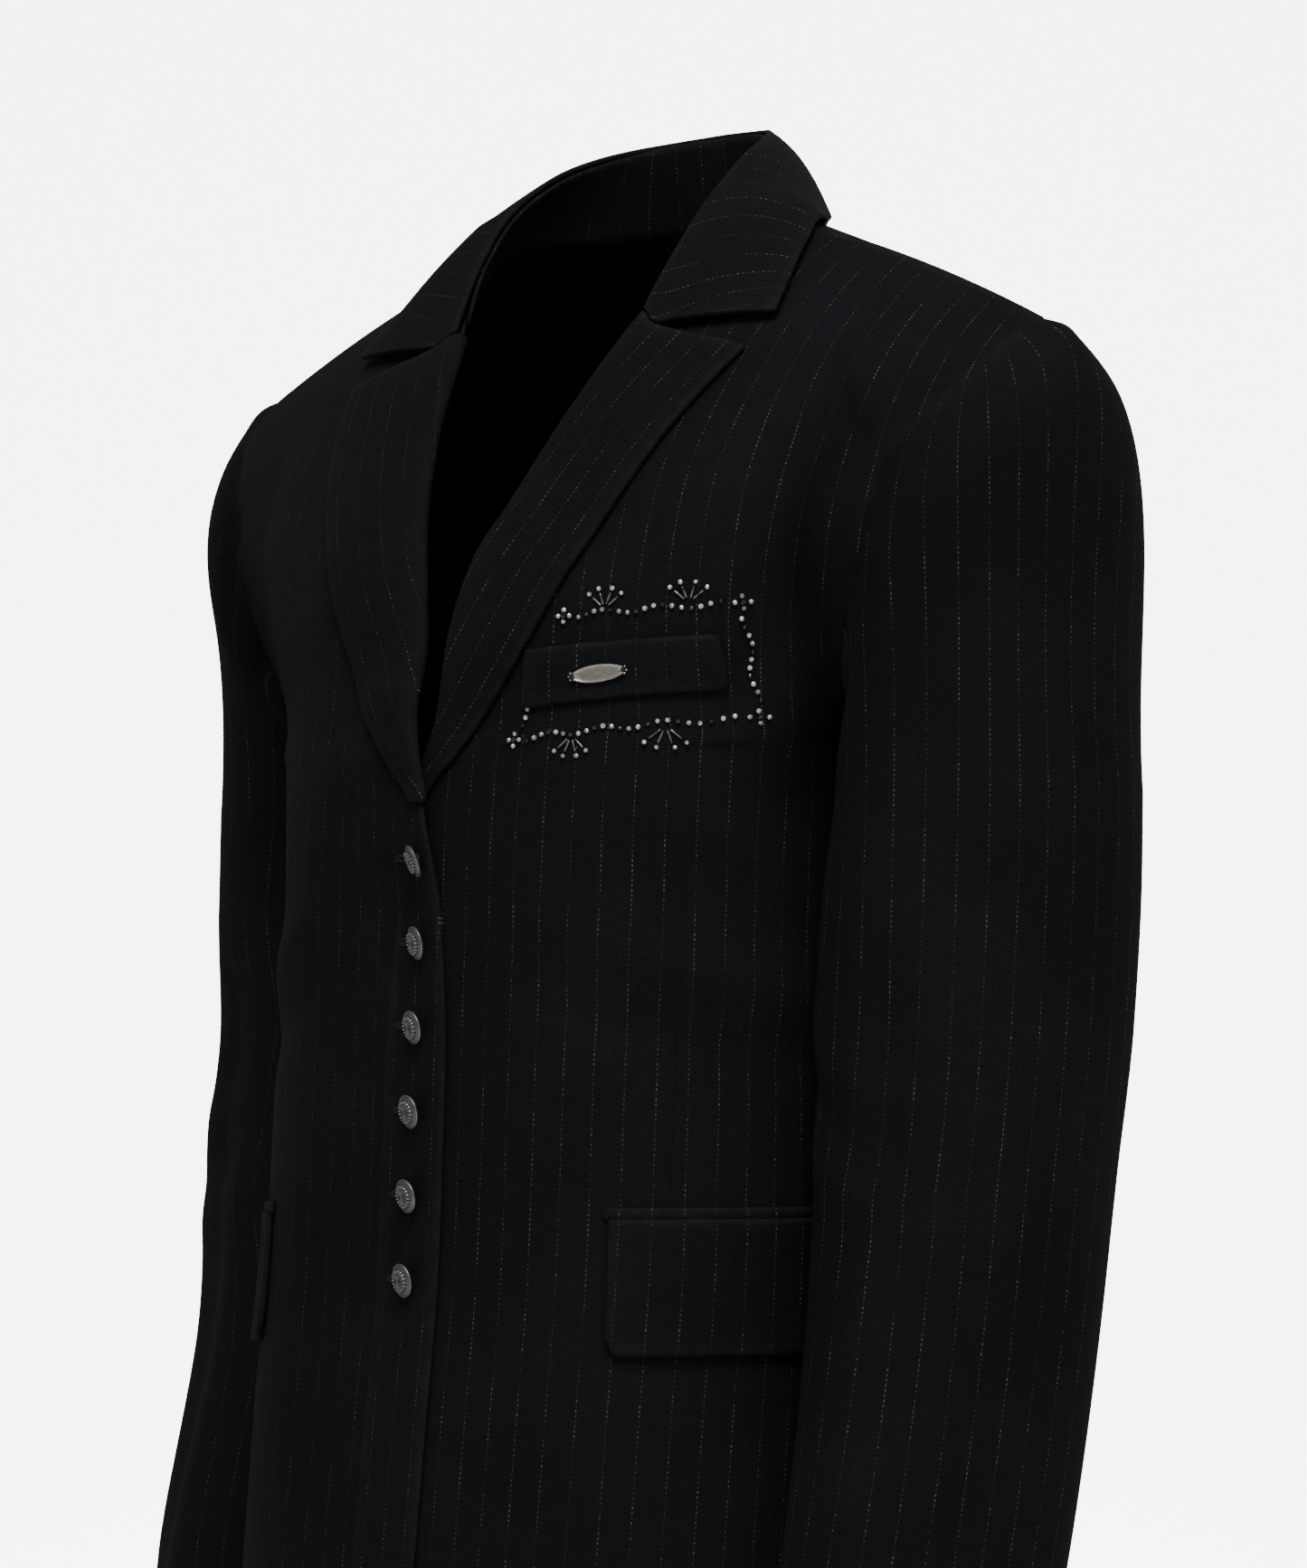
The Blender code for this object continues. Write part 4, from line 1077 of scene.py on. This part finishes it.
def fine_back(side, name, node):
    """A back panel, sunk a little along the centre seam."""
    mid, uv = [], []
    up = 0.0
    for h in body_levels(84, 60):
        line = back_row(h)
        run = np.linspace(0.0002, run_along(line)[-1], 54)
        row = base_back(h, run)
        if mid:
            up += float(np.median(np.linalg.norm(row - mid[-1], axis=-1)))
        mid.append(row)
        uv.append(np.stack([run + line[0][0] + 0.5 * STRIPE_PITCH, np.full_like(run, up)], -1))
    mid, uv = np.array(mid), np.array(uv)
    normal = grid_normals(mid, row_middles(mid))
    mid = mid - normal * (0.0006 * bell(mid[..., 0], 0.0016))[..., None]
    mid[..., 0] = np.maximum(mid[..., 0], 0.00005)
    return cloth(name, mid, normal, BODY_THICK, uv, WOOL, [node], side)


def fine_sleeve(side, word, axis_at):
    """Top and under sleeve from one run of rings, with stripes down the arm, and painted shade on the top
    sleeve beside its armhole seam.
    """
    dense = np.linspace(UNDER_HI - 2 * math.pi, UNDER_HI, 541)
    cut = int(np.argmin(np.abs(dense - UNDER_LO)))
    tops, unders = 72, 36
    rows, uvs, painted_shades = [], [], []
    cap_ring = sleeve_mid(axis_at, dense, 1.0)
    cap_run = run_along(cap_ring)
    zero = int(np.argmin(np.abs(dense)))
    centre = axis_at(-CAP_Z)
    strength, shade_from, shade_full, reach = SLEEVE_SHADE[side]

    def turn_of(row, about):
        dx = row[:, 0] - centre[0]
        dy = row[:, 1] - centre[1]
        c, s = math.cos(SLEEVE_TURN), math.sin(SLEEVE_TURN)
        turn = np.arctan2((-dx * s - dy * c) / centre[3], (dx * c - dy * s) / centre[2])
        return turn + 2 * math.pi * np.round((about - turn) / (2 * math.pi))

    cap_turn = np.maximum.accumulate(turn_of(cap_ring, dense)) + np.linspace(0, 1e-6, len(dense))
    for q in np.concatenate([np.linspace(0, 1, 44), 1 + np.linspace(0, 1, 88)[1:]]):
        ring = sleeve_mid(axis_at, dense, q)
        run = run_along(ring)
        at = np.concatenate([np.linspace(0.0001, run[cut] - 0.0001, tops),
                             np.linspace(run[cut] + 0.0001, run[-1] - 0.0001, unders)])
        row = np.stack([np.interp(at, run, ring[:, k]) for k in range(3)], -1)
        about = np.interp(at, run, dense)
        if q <= 1:
            across = np.interp(turn_of(row, about), cap_turn, cap_run) - cap_run[zero]
        else:
            across = at - run[zero]
        rows.append(row)
        uvs.append(np.stack([across, -row[:, 2]], -1))
        down = np.linalg.norm(row - rows[0], axis=-1)
        # Painted shade on the cloth's colour, in a band beside the armhole seam
        painted_shades.append(strength * window(about, shade_from, shade_full, 2.6, 3.0) * bell(down, reach))
    grid, uv = np.array(rows), np.array(uvs)
    wrapped = np.concatenate([grid[:, -1:], grid, grid[:, :1]], 1)
    n = grid_normals(wrapped, grid.mean(1, keepdims=True))[:, 1:-1]
    for a, b in ((tops - 1, tops), (0, -1)):
        shared = n[:, a] + n[:, b]
        shared /= np.linalg.norm(shared, axis=-1, keepdims=True)
        n[:, a] = shared
        n[:, b] = shared
    cloth("sleeve_top_cloth_" + word, grid[:, :tops], n[:, :tops], SLEEVE_THICK, uv[:, :tops], WOOL,
          ["sleeve_top_" + word], side, np.array(painted_shades)[:, :tops])
    cloth("sleeve_under_cloth_" + word, grid[:, tops:], n[:, tops:], SLEEVE_THICK, uv[:, tops:], WOOL,
          ["sleeve_under_" + word], side)


def walls(name, outer, inner, uv, nodes, side=1):
    """A sheet given by its two faces."""
    gap = outer - inner
    thick = np.linalg.norm(gap, axis=-1)
    return cloth(name, (outer + inner) / 2, gap / (thick[..., None] + 1e-12), thick, uv, WOOL, nodes,
                 side)


def fine_lapel(over, side, word):
    hs = np.linspace(LAPEL_START_Z - UNDERARM_Z, GORGE_H - 0.0004, 80)
    outer, inner = lapel_grid(over, hs, np.linspace(0, 1, 16)[1:])
    mid = (outer + inner) / 2
    across = run_across(mid)
    across = across[:, -1:] - across
    up = run_along(mid[:, -1])
    uv = np.stack([across + 0.4 * STRIPE_PITCH, np.repeat(up[:, None], across.shape[1], 1)], -1)
    walls("lapel_cloth_" + word, outer, inner, uv, ["lapel_" + word],
          side)


def grid_uv(grid, shift=0.0, slant=0.0):
    """Flat places of a collar's points: round the neck, then outward, with a slant for the stripes."""
    a = run_across(grid)
    b = np.repeat(run_along(grid[:, grid.shape[1] // 2])[:, None], grid.shape[1], 1)
    lean = slant * (b / b.max() * 2 - 1)
    return np.stack([b + shift + lean * a, a], -1)


def fine_collar():
    """The collar's fall, then its stand, whose foot is drawn to the neck seam."""
    fall = collar_fall_grid(52, 22)
    n = grid_normals(fall, COLLAR_CENTRE)
    bow = np.sin(np.linspace(0, math.pi, fall.shape[1]))[None, :, None]
    cloth("collar_fall_cloth", fall + n * bow * 0.0006, n, COLLAR_THICK,
          grid_uv(fall, 0.25 * STRIPE_PITCH, 0.36), WOOL, ["collar_fall"])
    stand = stand_grid(48, 12)
    front_seam = front_edge_at(np.linspace(GORGE_Z, 0, 60))
    seam_line = np.concatenate([front_seam, back_edge_at(np.linspace(1, 0.55, 90))])
    away = np.linspace(1, 0, stand.shape[1])[None, :, None] ** 2
    half = stand.shape[0] // 2
    foot = stand[:, 0].copy()
    for i in range(len(stand)):
        side = np.array([1 if i <= half else -1, 1, 1])
        near = seam_line[int(np.argmin(np.linalg.norm(seam_line - foot[i] * side, axis=-1)))].copy()
        near[:2] *= 1 - 0.0012 / np.linalg.norm(near[:2])
        near[2] -= 0.0006
        foot[i] = near * side
    stand = stand + away * (foot - stand[:, 0])[:, None]
    n = grid_normals(stand, COLLAR_CENTRE + np.array([0, 0, 0.1]))
    cloth("collar_stand_cloth", stand, n, SLEEVE_THICK, grid_uv(stand), WOOL,
          ["collar_stand"])


def lying(name, over, side, places, counts, low, high, node, by_run=True, lift=None, corner=0.0):
    """A piece that lies on a front between four places, as a pocket flap or welt does."""
    rows, cols = counts
    places = np.array(places)
    wide = np.linalg.norm(places[1] - places[0])
    outer, inner, uv = np.empty((rows, cols, 3)), np.empty((rows, cols, 3)), np.empty((rows, cols, 2))
    for i, j in np.ndindex(rows, cols):
        a = i / (rows - 1)
        b = j / (cols - 1)
        left = places[0] * (1 - a) + places[3] * a
        right = places[1] * (1 - a) + places[2] * a
        x, z = left * (1 - b) + right * b
        if corner and a < 0.5:
            short = max(0.0, 1 - min(b, 1 - b) * wide / corner)
            z += corner * (1 - math.sqrt(max(0.0, 1 - short**2))) * (1 - 2 * a)
        if by_run:
            run = x
            p, n = front_frame(over, z - UNDERARM_Z, [run])
            start = front_row(z - UNDERARM_Z)[0][0]
        else:
            h, run = run_at_place(x, z)
            p, n = GROUND[over].at([h], [run])
            start = front_row(h)[0][0]
        off = lift(a, b)
        outer[i, j] = p[0] + n[0] * (high + off)
        inner[i, j] = p[0] + n[0] * (low + off * 0.8)
        uv[i, j] = run + start, z + 1
    walls(name, outer, inner, uv, [node], side)


def flap_lift(s, t):
    """Curl of a flap: more at its low edge, and a slight wave along it."""
    return 0.0010 * (1 - s) ** 2 + 0.0004 * math.sin(9 * t) * (1 - s)


def pocket_pieces():
    a = FLAP_START
    b = FLAP_START + FLAP_WIDTH
    flap = ((a + 0.0012, FLAP_LOW_Z), (b, FLAP_LOW_Z), (b, FLAP_TOP_Z), (a, FLAP_TOP_Z))
    jet = ((a - 0.002, JET_LOW_Z), (b, JET_LOW_Z), (b, JET_TOP_Z), (a - 0.002, JET_TOP_Z))
    for side, word, over in ((1, "left", False), (-1, "right", True)):
        lying("flap_cloth_" + word, over, side, flap, (26, 44), 0.0013, 0.0036,
              "hip_flap_" + word, lift=flap_lift, corner=0.006)
        lying("jet_cloth_" + word, over, side, jet, (7, 44), 0.0008, 0.0026,
              "hip_jet_" + word, lift=lambda s, t: 0.0006 * math.sin(math.pi * s))
    lying("welt_cloth", False, 1, WELT, (14, 40), 0.0012, 0.0035, "chest_welt", by_run=False,
          lift=lambda s, t: 0.0004 * math.sin(math.pi * s))


# Buttons, plate and beads
def frame_on(place, way, up=(0, 0, 1)):
    way = way / np.linalg.norm(way)
    a = np.cross(up, way)
    a /= np.linalg.norm(a)
    return place, a, np.cross(way, a), way


def circle(place, a, b, radius, steps, spin=0.0):
    """Points evenly round a place, in the plane of two ways."""
    turn = 2 * math.pi * np.arange(steps) / steps + spin
    return place + radius * (np.cos(turn)[:, None] * a + np.sin(turn)[:, None] * b)


def ring_faces(steps, rings, start=0):
    """Faces of a closed skin whose points are one pole, then rings, then the other pole."""
    faces = []
    last = start + 1 + rings * steps
    for k in range(steps):
        m = (k + 1) % steps
        faces.append((start, start + 1 + k, start + 1 + m))
        for i in range(rings - 1):
            p = start + 1 + i * steps
            faces.append((p + k, p + steps + k, p + steps + m, p + m))
        faces.append((last, last - steps + m, last - steps + k))
    return faces


# Button's face: teeth round it, flutes in its middle, radius. Its back: radius and height of each ring
TEETH = 18
FLUTES = 24
FACE_R = 0.0070
BUTTON_BACK = ((FACE_R, 0.0026), (0.0067, 0.0018), (0.0045, 0.0013), (0.0026, 0.0012), (0.0024, 0.0001))


def button_relief(r, t):
    """Height of a button face in metres, and how dark its recess is."""
    s = r / FACE_R
    dome = 0.0048 - 0.0022 * s**2.3
    tooth = (0.5 + 0.5 * np.cos(TEETH * t)) ** 0.7
    teeth = 0.0009 * bell(s - 0.62, 0.075) * (0.15 + 0.85 * tooth)
    inside = np.clip(1 - ((s - 0.28) / 0.23) ** 2, 0, 1)
    flute = 0.5 + 0.5 * np.cos(FLUTES * t)
    boss = 0.0004 * bell(s, 0.07)
    edge = 0.0004 * bell(s - 0.965, 0.022)
    groove = 0.0003 * bell(s - 0.705, 0.020) + 0.0002 * bell(s - 0.925, 0.016)
    height = dome + teeth + 0.0004 * inside * flute + boss + edge - groove
    near_teeth = bell(s - 0.62, 0.085)
    dark = 0.58 + 0.5 * inside * (1 - flute) + 0.55 * near_teeth * (1 - tooth) + 1500 * groove
    dark = dark - 0.75 * near_teeth * tooth - 0.30 * inside * flute - 1400 * edge - 800 * boss
    return height, np.clip(dark, 0, 1)


def button(name, place, way, node, spin):
    place, a, b, c = frame_on(place, way)
    steps, rings = 180, 42
    turn = 2 * math.pi * np.arange(steps) / steps
    points, recess = [place + c * button_relief(0.0, 0.0)[0]], [0.0]
    for r in np.linspace(0, FACE_R, rings + 1)[1:]:
        height, dark = button_relief(r, turn)
        points.extend(circle(place, a, b, r, steps, spin) + c * height[:, None])
        recess.extend(dark)
    for r, z in BUTTON_BACK:
        points.extend(circle(place + c * z, a, b, r, steps, spin))
        recess.extend([0.6] * steps)
    points.append(place + c * BUTTON_BACK[-1][1])
    recess.append(1.0)
    faces = turned_out(points, ring_faces(steps, rings + len(BUTTON_BACK)))
    ob = mesh_object(name, points, faces, SILVER, None, recess)
    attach(ob, "root")
    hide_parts(node)


def plate():
    """Plain oval plate on the welt. Returns the places of its two fixing beads and the way off the cloth."""
    h, run = run_at_place(PLATE_X, PLATE_Z)
    p, n = front_frame(False, h, [run])
    n = n[0]
    level_way = np.cross((0, 0, 1), n)
    level_way /= np.linalg.norm(level_way)
    up = np.cross(n, level_way)
    side_way = level_way * math.cos(PLATE_TILT) + up * math.sin(PLATE_TILT)
    up_way = up * math.cos(PLATE_TILT) - level_way * math.sin(PLATE_TILT)
    base = p[0] + n * PLATE_OFF
    steps = 96
    turn = 2 * math.pi * np.arange(steps) / steps
    wide = np.clip(np.cos(turn), -0.94, 0.94)[:, None] * side_way * PLATE_LONG
    tall = np.sin(turn)[:, None] * up_way * PLATE_TALL
    rings = ((1.0, 0.0), (1.0, 0.0007), (0.985, 0.0010), (0.95, 0.0011), (0.92, 0.00085),
             (0.6, 0.0009), (0.3, 0.0009))
    points, recess = [base], [0.5]
    for share, height in rings:
        points.extend(base + share * (wide + tall) + n * height)
        recess.extend([0.35 if share > 0.99 else 0.0] * steps)
    points.append(base + n * rings[-1][1])
    recess.append(0.0)
    faces = turned_out(points, ring_faces(steps, len(rings)))
    ob = mesh_object("plate_face", points, faces, PLATE, None, recess)
    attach(ob, "root")
    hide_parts("oval_plate")
    return [base + side_way * 0.0109 * s + n * 0.0013 for s in (-1, 1)], n


RANDOM = np.random.default_rng(7)


class Beads:
    """Many small beads gathered into one mesh."""

    def __init__(self):
        self.points = []
        self.faces = []

    def round(self, place, way, radius, steps=9, rings=6, flat=0.85):
        """A cut bead, turned a little at random as sewn beads are."""
        lean = RANDOM.normal(0, 0.28, 3)
        place, a, b, c = frame_on(np.asarray(place, float), np.asarray(way, float) + lean, (0.1, 0.2, 1))
        radius = radius * RANDOM.uniform(0.92, 1.08)
        self.faces += ring_faces(steps, rings - 1, len(self.points))
        tall = c * radius * flat
        self.points.append(place + tall)
        for i in range(1, rings):
            s = math.pi * i / rings
            self.points.extend(circle(place + tall * math.cos(s), a, b, radius * math.sin(s), steps))
        self.points.append(place - tall)

    def tube(self, a_end, b_end, radius, steps=8):
        """A bugle bead: a short straight tube with rounded ends."""
        a_end, b_end = np.asarray(a_end, float), np.asarray(b_end, float)
        place, a, b, _ = frame_on(a_end, b_end - a_end, (0.3, 0.1, 1))
        profile = ((0.7, 0.0), (1.0, 0.08), (1.0, 0.92), (0.7, 1.0))
        self.faces += ring_faces(steps, len(profile), len(self.points))
        self.points.append(place)
        for r, s in profile:
            self.points.extend(circle(place + (b_end - a_end) * s, a, b, radius * r, steps))
        self.points.append(b_end)

    def finish(self, name, look, slot, smooth=True):
        ob = mesh_object(name, self.points, turned_out(self.points, self.faces), look, smooth=smooth)
        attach(ob, "root")
        return ob


# Beaded border round the welt: its corners as seen from in front, and the spacing of its beads
BORDER = ((0.0470, -0.2245), (0.1335, -0.2165), (0.1335, -0.1705), (0.0665, -0.1745))
BEAD_STEP = 0.0032


def bead_work(plate_ends, plate_n):
    """A plain beaded border round the welt: strings of beads with lozenges and leaf pairs."""
    pale, jet, bugle = Beads(), Beads(), Beads()

    def spot(x, z, off):
        h, run = run_at_place(x, z)
        p, n = GROUND[False].at([h], [run])
        return p[0] + n[0] * (0.0010 + off), n[0]

    def lozenge(x, z, size=0.0024):
        jet.round(*spot(x, z, 0.0014), 0.0013)
        for k in range(4):
            t = math.pi / 2 * k
            pale.round(*spot(x + size * 1.05 * math.cos(t), z + size * math.sin(t), 0.0010), 0.00105)

    def leaf(x, z, up):
        for lean in (-1, 1):
            for wide, tall in ((0.0022, 0.0064), (0.0052, 0.0048)):
                ends = []
                for share, off in ((0.30, 0.0007), (1.0, 0.0007), (1.28, 0.0009)):
                    ends.append(spot(x + share * wide * lean, z + (0.0012 + share * tall) * up, off))
                bugle.tube(ends[0][0], ends[1][0], 0.00042)
                pale.round(*ends[2], 0.0010)

    for first, second, full in ((0, 1, True), (1, 2, True), (2, 3, True), (0, 3, False)):
        a = np.array(BORDER[first])
        b = np.array(BORDER[second])
        length = np.linalg.norm(b - a)
        way = (b - a) / length
        out = np.array([way[1], -way[0]])
        count = int(length / BEAD_STEP)
        for k in range(2, (count if full else count - 3) - 1):
            s = k / count
            if not full and s > 0.62:
                continue
            wave = 0.0011 * math.sin(2 * math.pi * s * max(1, round(length / 0.024)))
            x, z = a + way * length * s + out * wave
            if k % 3 == 2:
                jet.round(*spot(x, z, 0.0010), 0.0010)
            else:
                pale.round(*spot(x, z, 0.0010), 0.0011)
    for x, z in BORDER:
        lozenge(x, z)
    for x, up in ((0.073, -1), (0.1075, -1), (0.084, 1), (0.116, 1)):
        low = BORDER[0][1] + (BORDER[1][1] - BORDER[0][1]) * (x - 0.047) / 0.0865
        high = BORDER[3][1] + (BORDER[2][1] - BORDER[3][1]) * (x - 0.0665) / 0.067
        leaf(x, low if up < 0 else high, up)
    for place in plate_ends:
        jet.round(place, plate_n, 0.0009)
        around = np.cross(plate_n, (0, 0, 1))
        around /= np.linalg.norm(around)
        for ring in circle(place, around, np.cross(around, plate_n), 0.0015, 6):
            pale.round(ring - plate_n * 0.0004, plate_n, 0.0005, 8, 5)
    crystal = bead_glass("crystal_bead", (0.95, 0.93, 0.90), 0.12, 0.45)
    pale.finish("beads_pale", crystal, "plate_metal", False)
    black = bead_glass("jet_bead", (0.10, 0.10, 0.105), 0.12, 0.85)
    jet.finish("beads_jet", black, "button_metal", False)
    grey = bead_glass("bugle_bead", (0.30, 0.29, 0.28), 0.16, 0.75)
    bugle.finish("beads_bugle", grey, "plate_metal")


# Buttonhole: length, half width, how far its middle is from the button's, stitches round it
HOLE_LONG = 0.0140
HOLE_HALF = 0.0010
HOLE_OFF = 0.0068
STITCHES = 56


def softened(value, power):
    return math.copysign(abs(value) ** power, value)


def buttonholes():
    """Thread-wrapped buttonholes of the right front, running out from under each button to the edge side."""
    thread = Beads()
    for k in range(BUTTON_COUNT):
        level = BUTTON_TOP_Z - BUTTON_PITCH * k
        loop = []
        for i in range(STITCHES):
            t = 2 * math.pi * i / STITCHES
            x = BUTTON_X - HOLE_OFF + HOLE_LONG / 2 * softened(math.cos(t), 0.5)
            loop.append(right_front_at(x, level + HOLE_HALF * softened(math.sin(t), 0.6)))
        for i in range(STITCHES):
            (p, n), (q, _) = loop[i], loop[(i + 1) % STITCHES]
            across = np.cross(n, q - p)
            across /= np.linalg.norm(across) + 1e-12
            thread.tube(p - across * 0.0007 + n * 0.00025, p + across * 0.0007 + n * 0.00025, 0.00032, 6)
    thread.finish("buttonhole_thread", thread_look("thread"), "wool_front")


def buttons():
    """Each button on the right front, raised until neither its shank nor its rim goes into the cloth."""
    for k in range(BUTTON_COUNT):
        level = BUTTON_TOP_Z - BUTTON_PITCH * k
        button_x = BUTTON_X + BUTTON_SHIFT[k]
        place, way = right_front_at(button_x, level)
        c = math.cos(BUTTON_TURN[k])
        s = math.sin(BUTTON_TURN[k])
        way = np.array([way[0] * c + way[1] * s, way[1] * c - way[0] * s, way[2] - BUTTON_DROOP])
        way /= np.linalg.norm(way)
        rest = 0.0
        for r, height in RESTS:
            for t in np.linspace(0, 2 * math.pi, 9)[:-1]:
                p, _ = right_front_at(button_x + r * math.cos(t), level + r * math.sin(t))
                rest = max(rest, float(np.dot(p - place, way)) - height)
        place = place + way * (rest + 0.0003)
        button("button_face_%d" % (k + 1), place, way, "button_%d" % (k + 1), 0.4 * k)


# How far the buttons' faces look down, as a slope
BUTTON_DROOP = 0.26
# How far the upper buttons sit toward the edge of the right front
BUTTON_SHIFT = (0.0030, 0.0018, 0.0008, 0.0, 0.0, 0.0)
WOOL = wool("wool_suiting")
SILVER = aged_metal("aged_silver", (0.46, 0.45, 0.43, 1), (0.045, 0.042, 0.040, 1))
PLATE = aged_metal("plate_silver", (0.66, 0.61, 0.55, 1), (0.20, 0.19, 0.18, 1), 0.34)

fine_front(False, 1, "front_cloth_left", "front_left")
fine_front(True, -1, "front_cloth_right", "front_right")
fine_back(1, "back_cloth_left", "back_left")
fine_back(-1, "back_cloth_right", "back_right")
fine_sleeve(1, "left", sleeve_left_at)
fine_sleeve(-1, "right", sleeve_right_at)
fine_lapel(False, 1, "left")
fine_lapel(True, -1, "right")
fine_collar()
pocket_pieces()
buttons()
bead_work(*plate())
buttonholes()

# Camera, from the photograph's size in pixels, its column of the jacket's axis and its row of eye level
AZIMUTH = math.radians(42)
RANGE = 2.5
PIXELS_PER_METRE = 2600
EYE_Z = -0.365
PHOTO_WIDE, PHOTO_TALL = 1445, 1734
AXIS_COLUMN = 706
LEVEL_ROW = 1204
back_way = Vector((math.sin(AZIMUTH), -math.cos(AZIMUTH), 0))
right_way = Vector((math.cos(AZIMUTH), math.sin(AZIMUTH), 0))
pitch = math.atan((LEVEL_ROW - PHOTO_TALL / 2) / (PIXELS_PER_METRE * RANGE))
look = -back_way * math.cos(pitch) + Vector((0, 0, 1)) * math.sin(pitch)
up_way = right_way.cross(look)
aside = (PHOTO_WIDE / 2 - AXIS_COLUMN) / PIXELS_PER_METRE
eye = back_way * RANGE + right_way * aside + Vector((0, 0, EYE_Z))
lens = bpy.data.cameras.new("camera")
lens.sensor_fit = "VERTICAL"
lens.sensor_height = 36
lens.lens = PIXELS_PER_METRE * RANGE / PHOTO_TALL * lens.sensor_height
camera = bpy.data.objects.new("camera", lens)
camera.matrix_world = Matrix((
    (right_way.x, up_way.x, -look.x, eye.x),
    (right_way.y, up_way.y, -look.y, eye.y),
    (right_way.z, up_way.z, -look.z, eye.z),
    (0, 0, 0, 1),
))
bpy.context.scene.collection.objects.link(camera)
bpy.context.scene.camera = camera


# Lights, floor and the lit screen behind
def area_light(name, place, aim, size, power):
    data = bpy.data.lights.new(name, "AREA")
    data.shape = "RECTANGLE"
    data.size, data.size_y = size
    data.energy = power
    ob = bpy.data.objects.new(name, data)
    ob.location = place
    ob.rotation_euler = (Vector(aim) - Vector(place)).to_track_quat("-Z", "Y").to_euler()
    bpy.context.scene.collection.objects.link(ob)


def backdrop(name, corners, look_name, **values):
    surface = Nodes(look_name)
    surface.set(Roughness=0.9, **values)
    mesh_object(name, [tuple(c) for c in corners], [(0, 1, 2, 3)], surface.material)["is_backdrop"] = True


area_light("key", (1.6, -1.8, 3.1), (0, 0, -0.3), (1.8, 1.8), 97)
area_light("fill", (3.2, -0.6, 0.4), (0, 0, -0.4), (1.6, 2.4), 9)
area_light("left_fill", (-2.0, -2.6, 1.2), (0, 0, -0.4), (1.6, 2.0), 3.5)
area_light("rear", (-0.6, 2.8, 1.8), (0, 0, -0.3), (2.4, 1.6), 10)

FLOOR_Z = -1.36
FLOOR_REACH = 9
SCREEN_AWAY = 8.0
SCREEN_MIDDLE = -back_way * SCREEN_AWAY + Vector((0, 0, 0.20))
SCREEN_HALF = (1.35, 1.56)
SQUARE = ((-1, -1), (1, -1), (1, 1), (-1, 1))
backdrop("floor", [(a * FLOOR_REACH, b * FLOOR_REACH, FLOOR_Z) for a, b in SQUARE], "pale_floor",
         Base_Color=(0.86, 0.86, 0.85, 1), Specular_IOR_Level=0.1)
screen = [SCREEN_MIDDLE + right_way * a * SCREEN_HALF[0] + Vector((0, 0, b * SCREEN_HALF[1]))
          for a, b in SQUARE]
backdrop("lit_screen", screen, "lit_screen", Base_Color=(0.9, 0.9, 0.9, 1),
         Emission_Color=(1, 1, 1, 1), Emission_Strength=6.0)

world = bpy.data.worlds.new("studio")
world.use_nodes = True
world.node_tree.nodes["Background"].inputs["Color"].default_value = (1, 1, 1, 1)
world.node_tree.nodes["Background"].inputs["Strength"].default_value = 0.20
bpy.context.scene.world = world

sizes = {"cad": cad_box, "visual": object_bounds()}


def plain(value):
    return [plain(v) for v in value] if hasattr(value, "__len__") else float(value)


{key: plain(value) for key, value in sizes.items()}
